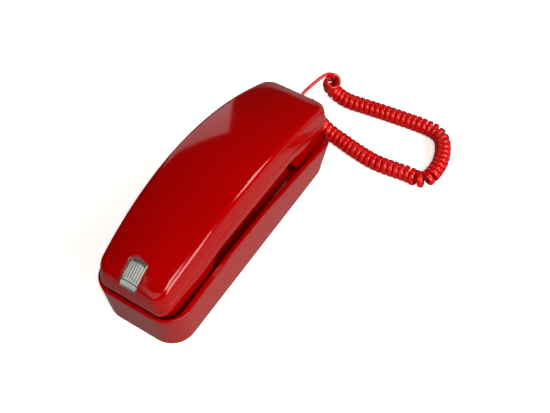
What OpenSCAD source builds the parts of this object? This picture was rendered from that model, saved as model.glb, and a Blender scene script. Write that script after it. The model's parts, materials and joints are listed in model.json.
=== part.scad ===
// Slimline corded telephone: a drafted base with a humped cradle, a long arched
// handset lying face down in it, and a coiled handset cord. Millimetres, +Z up.
// Y runs along the phone: -Y is the receiver end, +Y is the cord end.

/* [Base] */
// Length of the base over its rim
base_len = 226; // [180:1:260]
// Width of the base over its rim
base_w = 74; // [60:1:95]
// Length of the base at its foot line
foot_len = 206; // [170:1:250]
// Shift of the foot line towards the receiver end
foot_shift = 3; // [0:0.5:6]
// Shift of the rim towards the cord end
rim_shift = 3.2; // [0:0.1:6]
// Width of the base at its foot line
foot_w = 70; // [56:1:92]
// Plan corner radius of the base
base_corner_r = 18; // [8:0.5:26]
// Highest point of the curved rim
rim_peak_z = 41.5; // [34:0.5:50]
// Distance of that highest point from the middle, towards the receiver end
rim_peak_shift = 37.5; // [0:0.5:60]
// Radius of the rim seen from the side
rim_arc_r = 630; // [400:5:900]
// Thickness of the moulded base walls
base_wall = 2.5; // [1.8:0.1:3.5]
// Height of the cradle floor
deck_z = 23.8; // [20:0.1:28]
// Width of the cradle pocket
pocket_w = 66; // [54:0.5:84]
// Length of the cradle pocket
pocket_len = 212.5; // [170:0.5:214]
// Height of the cradle hump
hump_z = 48; // [36:0.5:50]
// Width of the cradle hump
hump_w = 52; // [40:1:58]
// Length of the hump along its top
hump_top_len = 84; // [60:1:84]
// Length of the hump at the cradle floor
hump_foot_len = 120; // [100:1:122]
// Thickness of the bottom plate
plate_t = 2.5; // [1.8:0.1:4]
// Gap all round between the bottom plate and the housing
plate_gap = 0.3; // [0.1:0.05:0.6]

/* [Feet, keyholes and base screws] */
// Gap between the foot line and the table
foot_gap = 1.5; // [1:0.1:4]
// Diameter of a rubber foot
foot_d = 12; // [8:0.5:16]
// Depth of the recess each foot sits in
foot_recess = 0.5; // [0.3:0.1:1]
// Sideways distance from the middle to a foot
foot_x = 20; // [14:0.5:26]
// Lengthways distance from the middle to a foot
foot_y = 72; // [60:0.5:84]
// Distance between the two wall keyholes
keyhole_spacing = 83; // [60:0.5:100]
// Radius of a keyhole's round entry
keyhole_entry_r = 5.2; // [4:0.1:7]
// Width of a keyhole's slot
keyhole_slot_w = 5; // [3:0.1:6]
// Length of a keyhole's slot from the entry centre
keyhole_slot_len = 9; // [6:0.5:14]
// Diameter of a screw shank
screw_d = 2.9; // [2:0.1:4]
// Diameter of a screw head
screw_head_d = 5.6; // [4:0.1:8]
// Height of a screw head
screw_head_h = 1.3; // [1:0.1:2.5]
// Length of a base screw under its head
base_screw_len = 10; // [6:0.5:16]
// Diameter of a base screw boss
boss_d = 8; // [6:0.5:12]
// Sideways distance from the middle to a base screw
base_screw_x = 24; // [20:0.5:25]
// Lengthways distance from the middle to a base screw
base_screw_y = 82; // [78:0.5:83]

/* [Base fittings] */
// Length of the base circuit board
base_board_len = 66; // [40:1:80]
// Width of the base circuit board
base_board_w = 42; // [30:1:46]
// Thickness of every circuit board
board_t = 1.6; // [1:0.1:2.4]
// Height of the posts under the base circuit board
board_post_h = 6; // [5:0.5:10]
// Length of the base ballast plate
ballast_len = 44; // [30:1:48]
// Width of the base ballast plate
ballast_w = 30; // [20:1:32]
// Thickness of the base ballast plate
ballast_t = 4; // [2:0.5:5]
// Diameter of the ringer sounder
ringer_d = 30; // [20:1:34]
// Height of the ringer sounder
ringer_h = 8; // [5:0.5:12]
// Distance of the ringer sounder from the middle
ringer_y = 66; // [62:0.5:70]
// Width of a jack body
jack_w = 12; // [11:0.5:16]
// Height of a jack body
jack_h = 11; // [9:0.5:13]
// Depth of a jack body
jack_depth = 14; // [12:0.5:18]
// Width of a cord plug
plug_w = 7.7; // [6:0.1:10]
// Height of a cord plug
plug_h = 6.7; // [5:0.1:8]
// Length of a cord plug
plug_len = 14; // [12:0.5:18]
// Gap between a plug and its socket on every side
plug_gap = 0.15; // [0.05:0.05:0.3]
// Sideways position of the base's handset cord jack
base_jack_x = -14; // [-15:0.5:-13]
// Height of the middle of the base's jacks
base_jack_z = 11; // [10:0.5:13]
// Width of the line jack's socket
line_socket_w = 9.8; // [8:0.1:11]
// Height of the line jack's socket
line_socket_h = 6.8; // [5:0.1:8]
// Lengthways position of the line jack on the hidden side
line_jack_y = 60; // [50:1:66]
// Lengthways position of the ringer volume switch on the hidden side
ringer_switch_y = -24; // [-40:1:0]
// Travel of the ringer volume switch
ringer_switch_travel = 4; // [2:0.5:6]

/* [Hook switch] */
// Diameter of the hook plunger
plunger_d = 7; // [5:0.5:10]
// Radial clearance of the plunger in its hole
plunger_gap = 0.08; // [0.02:0.01:0.1]
// Travel of the hook plunger
plunger_travel = 4; // [2:0.5:5]
// Distance of the plunger from the middle
plunger_y = 74; // [70:0.5:76]
// Diameter of the lever's pin
lever_pin_d = 2; // [1.5:0.1:3]
// Radial clearance of the lever on its pin
lever_pin_gap = 0.05; // [0.02:0.01:0.1]
// Distance from the lever's pin to the plunger
lever_arm = 18; // [14:0.5:20]

/* [Handset] */
// Length of the handset along its lower edge
handset_len = 216; // [180:1:250]
// Length of the handset along its top crease
crease_len = 214; // [170:1:246]
// Width of the handset along its lower edge
handset_w = 69; // [54:0.5:84]
// Width of the handset along its top crease
crease_w = 63; // [48:0.5:78]
// How much narrower each side is at the ends than in the middle
waist = 6.4; // [0:0.1:10]
// Corner radius of the handset in plan
handset_corner_r = 9; // [5:0.5:14]
// Height of the crease in the middle
crease_z = 83; // [74:0.5:92]
// How far the crease drops towards the ends
crease_drop = 27; // [15:0.5:32]
// Tilt of the crease, the cord end being lower
crease_tilt = 3; // [0:0.5:6]
// Height of the lower edge in the middle
lower_edge_z = 60; // [56:0.5:66]
// How far the lower edge drops towards the ends
lower_edge_drop = 21; // [10:0.5:22]
// Rise of the back above the crease
crown = 3.6; // [1:0.1:6]
// Radius of the rounded crease
crease_r = 4; // [2:0.5:6]
// Height of the ends' flat faces above the table
handset_face_z = 24; // [23:0.1:30]
// Height of the dial face above the table
dial_face_z = 53; // [51:0.5:56]
// Length of the dial face
dial_face_len = 84; // [76:1:84]
// Length between the two end faces
arch_len = 128; // [120:1:136]
// Length of the handset over its end faces
face_len = 196; // [170:1:204]
// Thickness of the handset shells
shell_t = 2.2; // [1.6:0.1:3]
// Radius of the parting line seen from the side
parting_r = 259; // [200:1:320]
// Height of the parting line at its top
parting_z = 69; // [64:0.5:74]
// Shift of that top towards the receiver end
parting_shift = 7; // [0:0.5:14]
// Gap along the parting line
parting_gap = 0.1; // [0.05:0.05:0.4]

/* [Lamp lens] */
// Width of the lamp lens
lens_w = 14.5; // [10:0.5:20]
// Distance from the middle to the lens's arched end
lens_far_y = 90; // [84:0.5:94]
// Radius of the lens's shallow arched end
lens_arch_r = 12.5; // [10.5:0.5:30]
// Height the lens stands above the shell
lens_proud = 0.5; // [0.2:0.1:1]
// Height at which the lens ends on the handset's end face
lens_low_z = 57; // [52:0.5:60]
// Gap between the lens and the shell
lens_gap = 0.15; // [0.05:0.05:0.3]
// Width of the lens's inner flange
lens_flange = 1.5; // [0.8:0.1:2]
// Number of ribs along the lens
lens_ribs = 6; // [3:1:8]

/* [Keys] */
// Distance between key columns
key_pitch_x = 14.5; // [12:0.5:15]
// Distance between key rows
key_pitch_y = 12.5; // [11:0.5:13]
// Width of a key
key_w = 10.5; // [8:0.5:12]
// Length of a key
key_l = 8.5; // [6:0.5:9]
// Height a key stands out of the dial face
key_out = 2; // [1:0.1:2.5]
// Travel of a key
key_travel = 1.5; // [0.8:0.1:2]
// Gap between a key and its hole
key_gap = 0.25; // [0.1:0.05:0.4]
// Overhang of a key's inner flange
key_flange = 0.9; // [0.5:0.1:1.2]
// Lengthways position of the first key row
key_first_y = -24; // [-27:0.5:-20]
// Lengthways position of the function keys
function_row_y = 27.5; // [25:0.5:29]
// Lengthways position of the receiver volume switch
volume_y = -35.5; // [-37:0.5:-34]
// Travel of the receiver volume switch
volume_travel = 5; // [3:0.5:6]

/* [Handset fittings] */
// Diameter of the receiver capsule
receiver_d = 28; // [20:0.5:29]
// Height of the receiver capsule
receiver_h = 10; // [6:0.5:16]
// Distance of the receiver from the middle
receiver_y = 81; // [80:0.5:82]
// Diameter of the microphone capsule
mic_d = 10; // [6:0.5:12]
// Height of the microphone capsule
mic_h = 6; // [4:0.5:8]
// Distance of the microphone from the middle
mic_y = 87; // [85:0.5:89]
// Space beside the handset circuit board, measured to the handset's lower edge
handset_board_side = 6.5; // [6:0.5:9]
// Length of the handset circuit board
handset_board_len = 84; // [76:1:88]
// Sideways position of the handset's jack
handset_jack_x = 8; // [4:0.5:10]
// Height of the middle of the handset's jack
handset_jack_z = 46; // [45:0.5:47]
// Lengthways distance from the middle to a handset screw
handset_screw_y = 70; // [68:0.5:72]
// Distance of a handset screw from the handset's lower edge
handset_screw_side = 14; // [13.5:0.5:16]
// Length of a handset screw under its head
handset_screw_len = 16; // [10:0.5:22]

/* [Cord] */
// Diameter of the cord's straight leads
lead_d = 4; // [3:0.1:5]
// Outer diameter of the coiled stretch
coil_d = 13.5; // [10:0.5:16]

/* [Hidden] */

$fn = 64;
hull_fn = 32;
eps = 0.01;
slab = 0.05;
far = 400;
plate_z = foot_gap;
plate_top = plate_z + plate_t;
deck_under = deck_z - base_wall;
rim_top = rim_peak_z + 1;
board_z = plate_top + board_post_h;
hole_d = screw_d + 0.1;
head_hole_d = screw_head_d + 0.6;
plug_hole_w = plug_w + 2 * plug_gap;
plug_hole_h = plug_h + 2 * plug_gap;
boss_top = deck_under + 1;
end_wall_y = foot_len / 2 - foot_shift - base_wall + 1.5;
side_wall_x = foot_w / 2 - base_wall;
handset_board_w = handset_w - 2 * handset_board_side;
handset_screw_x = handset_w / 2 - handset_screw_side;
dial_margin = 9.5;
faceplate_w = handset_w - 2 * dial_margin;
membrane_w = faceplate_w - 4;
membrane_len = 64;
membrane_y = 1.5;
wall_cut = 12;
line_hole_w = line_socket_w + 2.8;
line_hole_h = line_socket_h + 2.8;
nose_gap = 0.2;
switch_slot_h = 4;
switch_slot_w = 5 + ringer_switch_travel;

red = [0.62, 0.02, 0.03];
dark_red = [0.5, 0.02, 0.03];
steel = [0.6, 0.61, 0.63];
board_green = [0.1, 0.35, 0.2];
black = [0.06, 0.06, 0.07];
white = [0.92, 0.92, 0.9];

// ---- shared shapes ----

// A flat rounded rectangle.
module round_rect(length, width, r) {
    for (x = [-1, 1], y = [-1, 1])
        translate([x * (width / 2 - r), y * (length / 2 - r)])
            circle(r = r);
    square([width - 2 * r, length], center = true);
    square([width, length - 2 * r], center = true);
}

// A rounded rectangular plate with its lower face at z.
module round_plate(length, width, r, z, height) {
    translate([0, 0, z])
        linear_extrude(height)
            round_rect(length, width, r);
}

// A box centred on x and y with its lower face at z.
module block(x, y, z, width, length, height) {
    translate([x - width / 2, y - length / 2, z])
        cube([width, length, height]);
}

// A disc or post with its lower face at z.
module post(x, y, z, d, height) {
    translate([x, y, z])
        cylinder(d = d, h = height);
}

// A side outline, given as [y, z] points, drawn right across the width.
module across(points, width) {
    translate([-width / 2, 0, 0])
        rotate([90, 0, 90])
            linear_extrude(width)
                polygon(points);
}

// The four places mirrored about both middle lines.
module four(x, y) {
    for (sx = [-1, 1], sy = [-1, 1])
        translate([sx * x, sy * y, 0])
            children();
}

// ---- base ----

// The drafted tub, smaller at the foot line than at the rim.
module tub(inset, low, high) {
    r = base_corner_r - inset;
    grow = (rim_top - foot_gap);
    len_at = foot_len + (base_len - foot_len) * (high - foot_gap) / grow - 2 * inset;
    w_at = foot_w + (base_w - foot_w) * (high - foot_gap) / grow - 2 * inset;
    shift_at = -foot_shift + (foot_shift + rim_shift) * (high - foot_gap) / grow;
    hull() {
        translate([0, -foot_shift, 0])
            round_plate(foot_len - 2 * inset, foot_w - 2 * inset, r, low, slab, $fn = hull_fn);
        translate([0, shift_at, 0])
            round_plate(len_at, w_at, r, high - slab, slab, $fn = hull_fn);
    }
}

// The hump's outline, drawn smaller for its hollow.
module hump(inset) {
    top = hump_top_len / 2 - inset / 2;
    foot = hump_foot_len / 2 - inset;
    low = deck_z - base_wall - 1;
    slope = (foot - top) / (hump_z - deck_z);
    across([
        [-foot - slope, low], [foot + slope, low],
        [top, hump_z - inset], [-top, hump_z - inset]
    ], hump_w - 2 * inset);
}

module keyhole(y) {
    post(0, y, plate_z - 1, 2 * keyhole_entry_r, plate_t + 2);
    block(0, y - keyhole_slot_len / 2, plate_z - 1, keyhole_slot_w, keyhole_slot_len, plate_t + 2);
    post(0, y - keyhole_slot_len, plate_z - 1, keyhole_slot_w, plate_t + 2);
}

module base_housing() {
    color(red)
        difference() {
            union() {
                difference() {
                    intersection() {
                        tub(0, foot_gap, rim_top);
                        translate([-far / 2, -rim_peak_shift, rim_peak_z - rim_arc_r])
                            rotate([0, 90, 0])
                                cylinder(r = rim_arc_r, h = far, $fn = 720);
                    }
                    round_plate(pocket_len, pocket_w, base_corner_r - 5, deck_z, far);
                    tub(base_wall, foot_gap - eps, deck_under);
                }
                hump(0);
                four(base_screw_x, base_screw_y)
                    post(0, 0, plate_top, boss_d, boss_top - plate_top);
                post(0, plunger_y, deck_under - 2, plunger_d + 5, 3);
            }
            hump(base_wall);
            four(base_screw_x, base_screw_y)
                post(0, 0, 0, hole_d, plate_top + base_screw_len);
            post(0, plunger_y, 0, plunger_d + 2 * plunger_gap, far);
            base_jack_hole();
            line_jack_hole();
            ringer_switch_hole();
        }
}

module base_jack_hole() {
    block(base_jack_x, foot_len / 2 + 1, base_jack_z - plug_hole_h / 2 - 1,
        plug_hole_w + 2, wall_cut, plug_hole_h + 2);
}

module line_jack_hole() {
    block(-foot_w / 2, line_jack_y, base_jack_z - line_hole_h / 2,
        wall_cut, line_hole_w, line_hole_h);
}

module ringer_switch_hole() {
    block(-foot_w / 2, ringer_switch_y, base_jack_z - switch_slot_h / 2,
        wall_cut, switch_slot_w, switch_slot_h);
}

module base_bottom_plate() {
    inset = base_wall + plate_gap;
    color(dark_red)
        difference() {
            union() {
                translate([0, -foot_shift, 0])
                    round_plate(foot_len - 2 * inset, foot_w - 2 * inset,
                        base_corner_r - inset, plate_z, plate_t);
                four(base_board_w / 2 - 3, base_board_len / 2 - 3)
                    post(0, 0, plate_top - eps, 5, board_post_h + eps);
            }
            for (y = [-1, 1])
                keyhole(y * keyhole_spacing / 2);
            four(foot_x, foot_y)
                post(0, 0, plate_z - 1, foot_d + 0.2, 1 + foot_recess);
            four(base_screw_x, base_screw_y) {
                post(0, 0, plate_z - 1, screw_d + 0.4, plate_t + 2);
                post(0, 0, plate_z - 1, head_hole_d, 1 + screw_head_h + 0.2);
            }
            for (x = [-1, 0, 1])
                block(x * 6, -ringer_y, plate_z - 1, 2, 18, plate_t + 2);
        }
}

module rubber_feet() {
    color(black)
        four(foot_x, foot_y)
            post(0, 0, 0, foot_d, foot_gap + foot_recess);
}

module screw(length) {
    cylinder(d = screw_head_d, h = screw_head_h);
    translate([0, 0, screw_head_h - eps])
        cylinder(d = screw_d, h = length + eps);
}

module base_screws() {
    color(steel)
        four(base_screw_x, base_screw_y)
            translate([0, 0, plate_z + 0.2])
                screw(base_screw_len);
}

module base_circuit_board() {
    color(board_green)
        block(0, 0, board_z, base_board_w, base_board_len, board_t);
}

// Boxes as [x, y, width, length, height] and round cans as [x, y, diameter, height].
board_boxes = [[-9, -12, 16, 18, 13], [9, 10, 14, 20, 4]];
board_cans = [[12, -12, 8, 12], [-11, 12, 10, 14], [-6, 24, 6, 8], [6, 26, 6, 8]];

module base_board_parts() {
    top = board_z + board_t;
    color(black) {
        for (b = board_boxes)
            block(b[0], b[1], top, b[2], b[3], b[4]);
        for (c = board_cans)
            post(c[0], c[1], top, c[2], c[3]);
    }
}

module ballast_plate() {
    color(steel)
        block(0, 0, plate_top, ballast_w, ballast_len, ballast_t);
}

module ringer_sounder() {
    color(black) {
        post(0, -ringer_y, plate_top, ringer_d, ringer_h - 2);
        post(0, -ringer_y, plate_top + ringer_h - 2 - eps, ringer_d - 8, 2 + eps);
    }
}

// A jack body with its mouth facing +Y at the origin.
module jack_body(width, height, socket_w, socket_h, nose_w, nose_h, nose_len) {
    difference() {
        union() {
            translate([-width / 2, -jack_depth, -height / 2])
                cube([width, jack_depth, height]);
            translate([-nose_w / 2, -eps, -nose_h / 2])
                cube([nose_w, nose_len + eps, nose_h]);
        }
        translate([-socket_w / 2, -jack_depth + 2, -socket_h / 2])
            cube([socket_w, jack_depth + nose_len, socket_h]);
    }
}

module base_handset_jack() {
    color(black)
        translate([base_jack_x, end_wall_y - nose_gap, base_jack_z])
            jack_body(jack_w, jack_h, plug_hole_w, plug_hole_h,
                plug_hole_w + 1.6, plug_hole_h + 1.6, base_wall);
}

module line_jack() {
    color(black)
        translate([-side_wall_x + nose_gap, line_jack_y, base_jack_z])
            rotate([0, 0, 90])
                jack_body(line_hole_w + 3, jack_h, line_socket_w, line_socket_h,
                    line_hole_w - 2 * nose_gap, line_hole_h - 2 * nose_gap, base_wall);
}

module ringer_switch_body() {
    color(black)
        difference() {
            block(-side_wall_x + nose_gap + 3, ringer_switch_y, base_jack_z - 4, 6, 16, 8);
            block(-side_wall_x, ringer_switch_y, base_jack_z - 1.6, 6, switch_slot_w, 3.2);
        }
}

module ringer_switch_knob() {
    y = ringer_switch_y - ringer_switch_travel / 2;
    color(black)
        block(-side_wall_x - 0.9, y, base_jack_z - 1.5, 7, 4.4, 3);
}

// ---- hook switch ----

lever_z = plate_top + 6;
lever_pin_y = plunger_y + lever_arm;
cheek_w = 3;
lever_w = 6;
stem_bottom = lever_z + 1.1;

module hook_switch_body() {
    color(black)
        difference() {
            union() {
                block(0, lever_pin_y, plate_top, lever_w + 2 * cheek_w + 0.6, 10, 2);
                for (s = [-1, 1])
                    block(s * (lever_w / 2 + cheek_w / 2 + 0.3), lever_pin_y, plate_top,
                        cheek_w, 10, 9);
            }
            translate([-far / 2, lever_pin_y, lever_z])
                rotate([0, 90, 0])
                    cylinder(d = lever_pin_d + 0.04, h = far);
        }
}

module hook_lever_pin() {
    length = lever_w + 2 * cheek_w + 0.6;
    color(steel)
        translate([-length / 2, lever_pin_y, lever_z])
            rotate([0, 90, 0])
                cylinder(d = lever_pin_d, h = length);
}

module hook_lever() {
    color(white)
        difference() {
            union() {
                block(0, lever_pin_y - lever_arm / 2 - 1, lever_z - 0.8,
                    lever_w, lever_arm + 2, 1.6);
                translate([-lever_w / 2, lever_pin_y, lever_z])
                    rotate([0, 90, 0])
                        cylinder(d = 4.4, h = lever_w);
            }
            translate([-far / 2, lever_pin_y, lever_z])
                rotate([0, 90, 0])
                    cylinder(d = lever_pin_d + 2 * lever_pin_gap, h = far);
        }
}

module hook_plunger() {
    color(white) {
        post(0, plunger_y, stem_bottom + 2, plunger_d, deck_z + 0.1 - stem_bottom - 2);
        post(0, plunger_y, stem_bottom + 2, plunger_d + 3, 2);
        post(0, plunger_y, stem_bottom, 4, 2 + eps);
    }
}

module hook_spring() {
    y = plunger_y + 6;
    color(steel)
        difference() {
            post(0, y, plate_top, 5, lever_z - 0.9 - plate_top);
            post(0, y, plate_top - 1, 3.6, 10);
        }
}

// ---- handset ----

// Half width of a barrel-sided plan with rounded corners, at distance y.
function barrel(y, half_w) = half_w - waist * pow(y / (base_len / 2), 2);
function corner_cut(y, half_len, r) =
    abs(y) < half_len - r ? 0 : r - sqrt(max(0, r * r - pow(abs(y) - half_len + r, 2)));
function plan_half(y, half_len, half_w, r) =
    barrel(y, half_w) - corner_cut(y, half_len, r);
function crease_at(y) =
    crease_z - crease_tilt * y / (base_len / 2) - crease_drop * pow(y / (base_len / 2), 2);
function lower_at(y) = lower_edge_z - 2 * y / (base_len / 2)
    - lower_edge_drop * pow(y / (base_len / 2), 2);

// One cross-section of the handset as [x, z] points.
function half_section(y, inset) =
    let (
        w_low = plan_half(y, handset_len / 2 - inset, handset_w / 2 - inset, handset_corner_r),
        w_top = plan_half(y, crease_len / 2 - inset, crease_w / 2 - inset, handset_corner_r),
        z_low = lower_at(y),
        z_top = crease_at(y) - inset,
        r = crease_r
    ) [
        [w_low - 3.2, handset_face_z + inset],
        [w_low, z_low],
        [w_top + (w_low - w_top) * 1.1 * r / (z_top - z_low), z_top - 1.1 * r],
        [w_top - 0.1 * r, z_top - 0.45 * r],
        [w_top - 0.45 * r, z_top - 0.05 * r],
        [w_top - 1.1 * r, z_top + 0.22 * crown],
        [w_top * 0.62, z_top + 0.62 * crown],
        [w_top * 0.3, z_top + 0.91 * crown],
        [0, z_top + crown]
    ];
function both_sides(half) = concat(
    half,
    [for (i = [len(half) - 2:-1:0]) [-half[i][0], half[i][1]]]
);

module section_slab(y, points) {
    translate([0, y + slab / 2, 0])
        rotate([90, 0, 0])
            linear_extrude(slab)
                polygon(points);
}

// The whole handset before its arch is cut, as one smooth convex body.
module envelope(inset) {
    top_end = crease_len / 2 - inset;
    low_end = handset_len / 2 - inset;
    face_end = face_len / 2 - inset;
    full = [0, 0.15, 0.3, 0.45, 0.6, 0.74, 0.86, 0.93, 0.965, 0.99];
    hull() {
        for (s = [-1, 1], k = full)
            section_slab(s * k * top_end, both_sides([
                for (p = half_section(s * k * top_end, inset))
                    if (p[1] > lower_at(s * k * top_end) - 1 || k * top_end < face_end) p
            ]));
        for (s = [-1, 1], k = [0.95, 0.98, 1])
            let (
                y = s * (low_end - (1 - k) * 60),
                w = plan_half(y, low_end, handset_w / 2 - inset, handset_corner_r)
            )
            section_slab(y, [
                [-w, lower_at(y) - 0.3], [w, lower_at(y) - 0.3],
                [w, lower_at(y) + 0.3], [-w, lower_at(y) + 0.3]
            ]);
        for (s = [-1, 1])
            block(0, s * (face_end - 4), handset_face_z + inset,
                2 * (barrel(face_end, handset_w / 2) - inset - 8), 8, slab);
    }
}

// The arch under the handset, raised for the inside of its shell.
module arch(raise) {
    run = (arch_len - dial_face_len) / 2;
    rise = dial_face_z - handset_face_z;
    shift = raise * sqrt(run * run + rise * rise) / rise;
    low = handset_face_z - 6;
    foot = arch_len / 2 + shift + (handset_face_z - low) * run / rise;
    top = dial_face_len / 2 + shift - raise * run / rise;
    across([
        [-foot, low], [foot, low],
        [top, dial_face_z + raise], [-top, dial_face_z + raise]
    ], far);
}

// Everything below the parting line.
module below_parting(offset_z) {
    translate([-far / 2, -parting_shift, parting_z - parting_r])
        rotate([0, 90, 0])
            cylinder(r = parting_r + offset_z, h = far, $fn = 360);
}

module lens_plan(extra) {
    half_w = lens_w / 2 + extra;
    arch_y = -lens_far_y - lens_arch_r;
    intersection() {
        translate([0, arch_y])
            circle(r = lens_arch_r + extra);
        translate([-half_w, -far / 2])
            square([2 * half_w, far / 2]);
    }
    translate([-half_w, -far / 2])
        square([2 * half_w, far / 2 + arch_y]);
}

// The lens outline as a tall prism, open towards the receiver end.
module lens_prism(extra) {
    translate([0, 0, lens_low_z - extra])
        linear_extrude(far)
            lens_plan(extra);
}

module handset_jack_hole() {
    block(handset_jack_x, handset_len / 2, handset_jack_z - plug_hole_h / 2 - 1,
        plug_hole_w + 2, 2 * wall_cut, plug_hole_h + 2);
}

// Screw columns that hang from the back shell.
module back_column(s) {
    top = crease_at(s * handset_screw_y) + 0.5;
    low = handset_face_z + 12.2;
    for (x = [-1, 1])
        post(x * handset_screw_x, s * handset_screw_y, low, 7.5, top - low);
}

// Where the message lamp's board and the weight hang inside the handset.
lamp_board_z = 55;
lamp_board_y = -93;
lamp_y = -96;
lamp_post_x = 9;
lamp_post_y = -88;
weight_z = 72;
weight_w = 34;
weight_len = 50;
weight_t = 4;

module handset_back_shell() {
    color(red)
        difference() {
            union() {
                difference() {
                    envelope(0);
                    envelope(shell_t);
                    below_parting(0);
                }
                for (s = [-1, 1])
                    back_column(s);
                for (x = [-1, 1])
                    post(x * lamp_post_x, lamp_post_y, lamp_board_z + board_t, 4,
                        crease_at(lamp_post_y) + 1.5 - lamp_board_z - board_t);
                four(12, 18)
                    post(0, 0, weight_z + weight_t, 5, crease_z + 1 - weight_z - weight_t);
            }
            lens_prism(lens_gap);
            handset_jack_hole();
            for (s = [-1, 1], x = [-1, 1])
                post(x * handset_screw_x, s * handset_screw_y, 0, hole_d,
                    handset_face_z + 4 + handset_screw_len);
        }
}

module key_positions() {
    for (r = [0:3], c = [-1:1])
        translate([c * key_pitch_x, key_first_y + r * key_pitch_y, 0])
            children();
    for (c = [-1:1])
        translate([c * key_pitch_x, function_row_y, 0])
            children();
}

faceplate_t = 0.8;
faceplate_len = dial_face_len - 4;
dial_inner_z = dial_face_z + shell_t;
board_under = dial_inner_z + 3.8;

module handset_front_shell() {
    color(red)
        difference() {
            union() {
                difference() {
                    intersection() {
                        envelope(0);
                        below_parting(-parting_gap);
                    }
                    difference() {
                        envelope(shell_t);
                        arch(shell_t);
                    }
                }
                four(handset_screw_x, handset_screw_y)
                    post(0, 0, handset_face_z, 8, 12);
                for (x = [-1, 1], y = [-1, 1])
                    post(x * (handset_board_w / 2 - 1.5), y * (handset_board_len / 2 - 6),
                        dial_inner_z - eps, 3, board_under - dial_inner_z + eps);
            }
            arch(0);
            block(0, 0, dial_face_z - 1, faceplate_w, faceplate_len, 1 + faceplate_t);
            key_positions()
                block(0, 0, 0, key_w + 2 * key_gap, key_l + 2 * key_gap, dial_inner_z + 1);
            block(0, volume_y, 0, volume_travel + volume_slot_extra, volume_slot_h, dial_inner_z + 1);
            four(handset_screw_x, handset_screw_y) {
                post(0, 0, 0, screw_d + 0.4, handset_face_z + 14);
                post(0, 0, 0, head_hole_d, handset_face_z + 4);
            }
            sound_hole(0, 0);
            for (a = [0:60:300])
                sound_hole(a, 5);
            for (a = [30:60:330])
                sound_hole(a, 8.6);
            for (x = [-1, 0, 1])
                post(x * 3, mic_y, 0, 1.6, handset_face_z + 3);
            handset_jack_hole();
            lens_prism(lens_gap);
        }
}

// One sound hole on a circle about the receiver's middle.
sound_hole_d = 1.8;

module sound_hole(angle, r) {
    post(r * cos(angle), r * sin(angle) - receiver_y, 0, sound_hole_d, handset_face_z + 3);
}

module lamp_lens() {
    rib_pitch = (lens_w - 2) / lens_ribs;
    color(white)
        difference() {
            union() {
                intersection() {
                    difference() {
                        envelope(-lens_proud);
                        envelope(shell_t - 0.4);
                    }
                    lens_prism(0);
                }
                intersection() {
                    difference() {
                        envelope(shell_t - 0.5);
                        envelope(shell_t + 1.2);
                    }
                    lens_prism(0);
                }
                intersection() {
                    difference() {
                        envelope(shell_t + 0.1);
                        envelope(shell_t + 1.2);
                    }
                    lens_prism(lens_flange);
                }
            }
            for (i = [0:lens_ribs])
                block((i - lens_ribs / 2) * rib_pitch, -lens_far_y - 7.5,
                    crease_at(-lens_far_y - 7.5) + crown + 0.1, 0.5, 10, far);
        }
}

module message_lamp() {
    top = lamp_board_z + board_t;
    lamp_d = 5;
    color(board_green)
        block(0, lamp_board_y, lamp_board_z, 24, 14, board_t);
    color(white) {
        post(0, lamp_y, top - eps, lamp_d, lamp_d);
        translate([0, lamp_y, top + lamp_d])
            sphere(d = lamp_d);
    }
}

module receiver_gasket() {
    z = handset_face_z + shell_t;
    color(black)
        difference() {
            post(0, -receiver_y, z, receiver_d - 1, 1);
            post(0, -receiver_y, z - 1, receiver_d - 9, 3);
        }
}

module receiver_capsule() {
    z = handset_face_z + shell_t + 1;
    color(steel) {
        post(0, -receiver_y, z, receiver_d, receiver_h - 3);
        post(0, -receiver_y, z + receiver_h - 3 - eps, receiver_d - 10, 3 + eps);
    }
}

module microphone_boot() {
    z = handset_face_z + shell_t;
    color(black)
        difference() {
            post(0, mic_y, z, mic_d + 4, mic_h + 2);
            post(0, mic_y, z + 1, mic_d + 0.1, mic_h + 2);
            post(0, mic_y, z - 1, mic_d - 3, 3);
        }
}

module microphone_capsule() {
    color(steel)
        post(0, mic_y, handset_face_z + shell_t + 1, mic_d, mic_h);
}

module handset_circuit_board() {
    color(board_green)
        block(0, 0, board_under, handset_board_w, handset_board_len, board_t);
}

module handset_ballast() {
    color(steel)
        block(0, 0, weight_z, weight_w, weight_len, weight_t);
}

module handset_jack() {
    color(black)
        translate([handset_jack_x, crease_len / 2 - shell_t - 1.2, handset_jack_z])
            jack_body(jack_w, jack_h, plug_hole_w, plug_hole_h,
                plug_hole_w + 1.6, plug_hole_h + 1.6, shell_t);
}

module handset_screws() {
    color(steel)
        four(handset_screw_x, handset_screw_y)
            translate([0, 0, handset_face_z + 4 - screw_head_h])
                screw(handset_screw_len);
}

module keypad_membrane() {
    color(white)
        block(0, membrane_y, board_under - 1, membrane_w, membrane_len, 1);
}

module dial_faceplate() {
    color(dark_red)
        difference() {
            block(0, 0, dial_face_z, faceplate_w - 0.3, faceplate_len - 0.3, faceplate_t);
            key_positions()
                block(0, 0, 0, key_w + 2 * key_gap, key_l + 2 * key_gap, far);
            block(0, volume_y, 0, volume_travel + volume_slot_extra, volume_slot_h, far);
        }
}

// The volume slot is longer than the slide's travel by the slide itself and some play.
volume_slot_extra = 6;
volume_slot_h = 3.6;

module volume_switch_body() {
    color(black)
        difference() {
            block(0, volume_y, dial_inner_z + 0.3, 18, 7, board_under - dial_inner_z - 0.3);
            block(0, volume_y, 0, volume_travel + volume_slot_extra, volume_slot_h, dial_inner_z + 2.6);
        }
}

module volume_slide() {
    color(white)
        block(-volume_travel / 2, volume_y, dial_face_z - 1.2, 5, 3.2,
            dial_inner_z + 2.4 - dial_face_z + 1.2);
}

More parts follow.
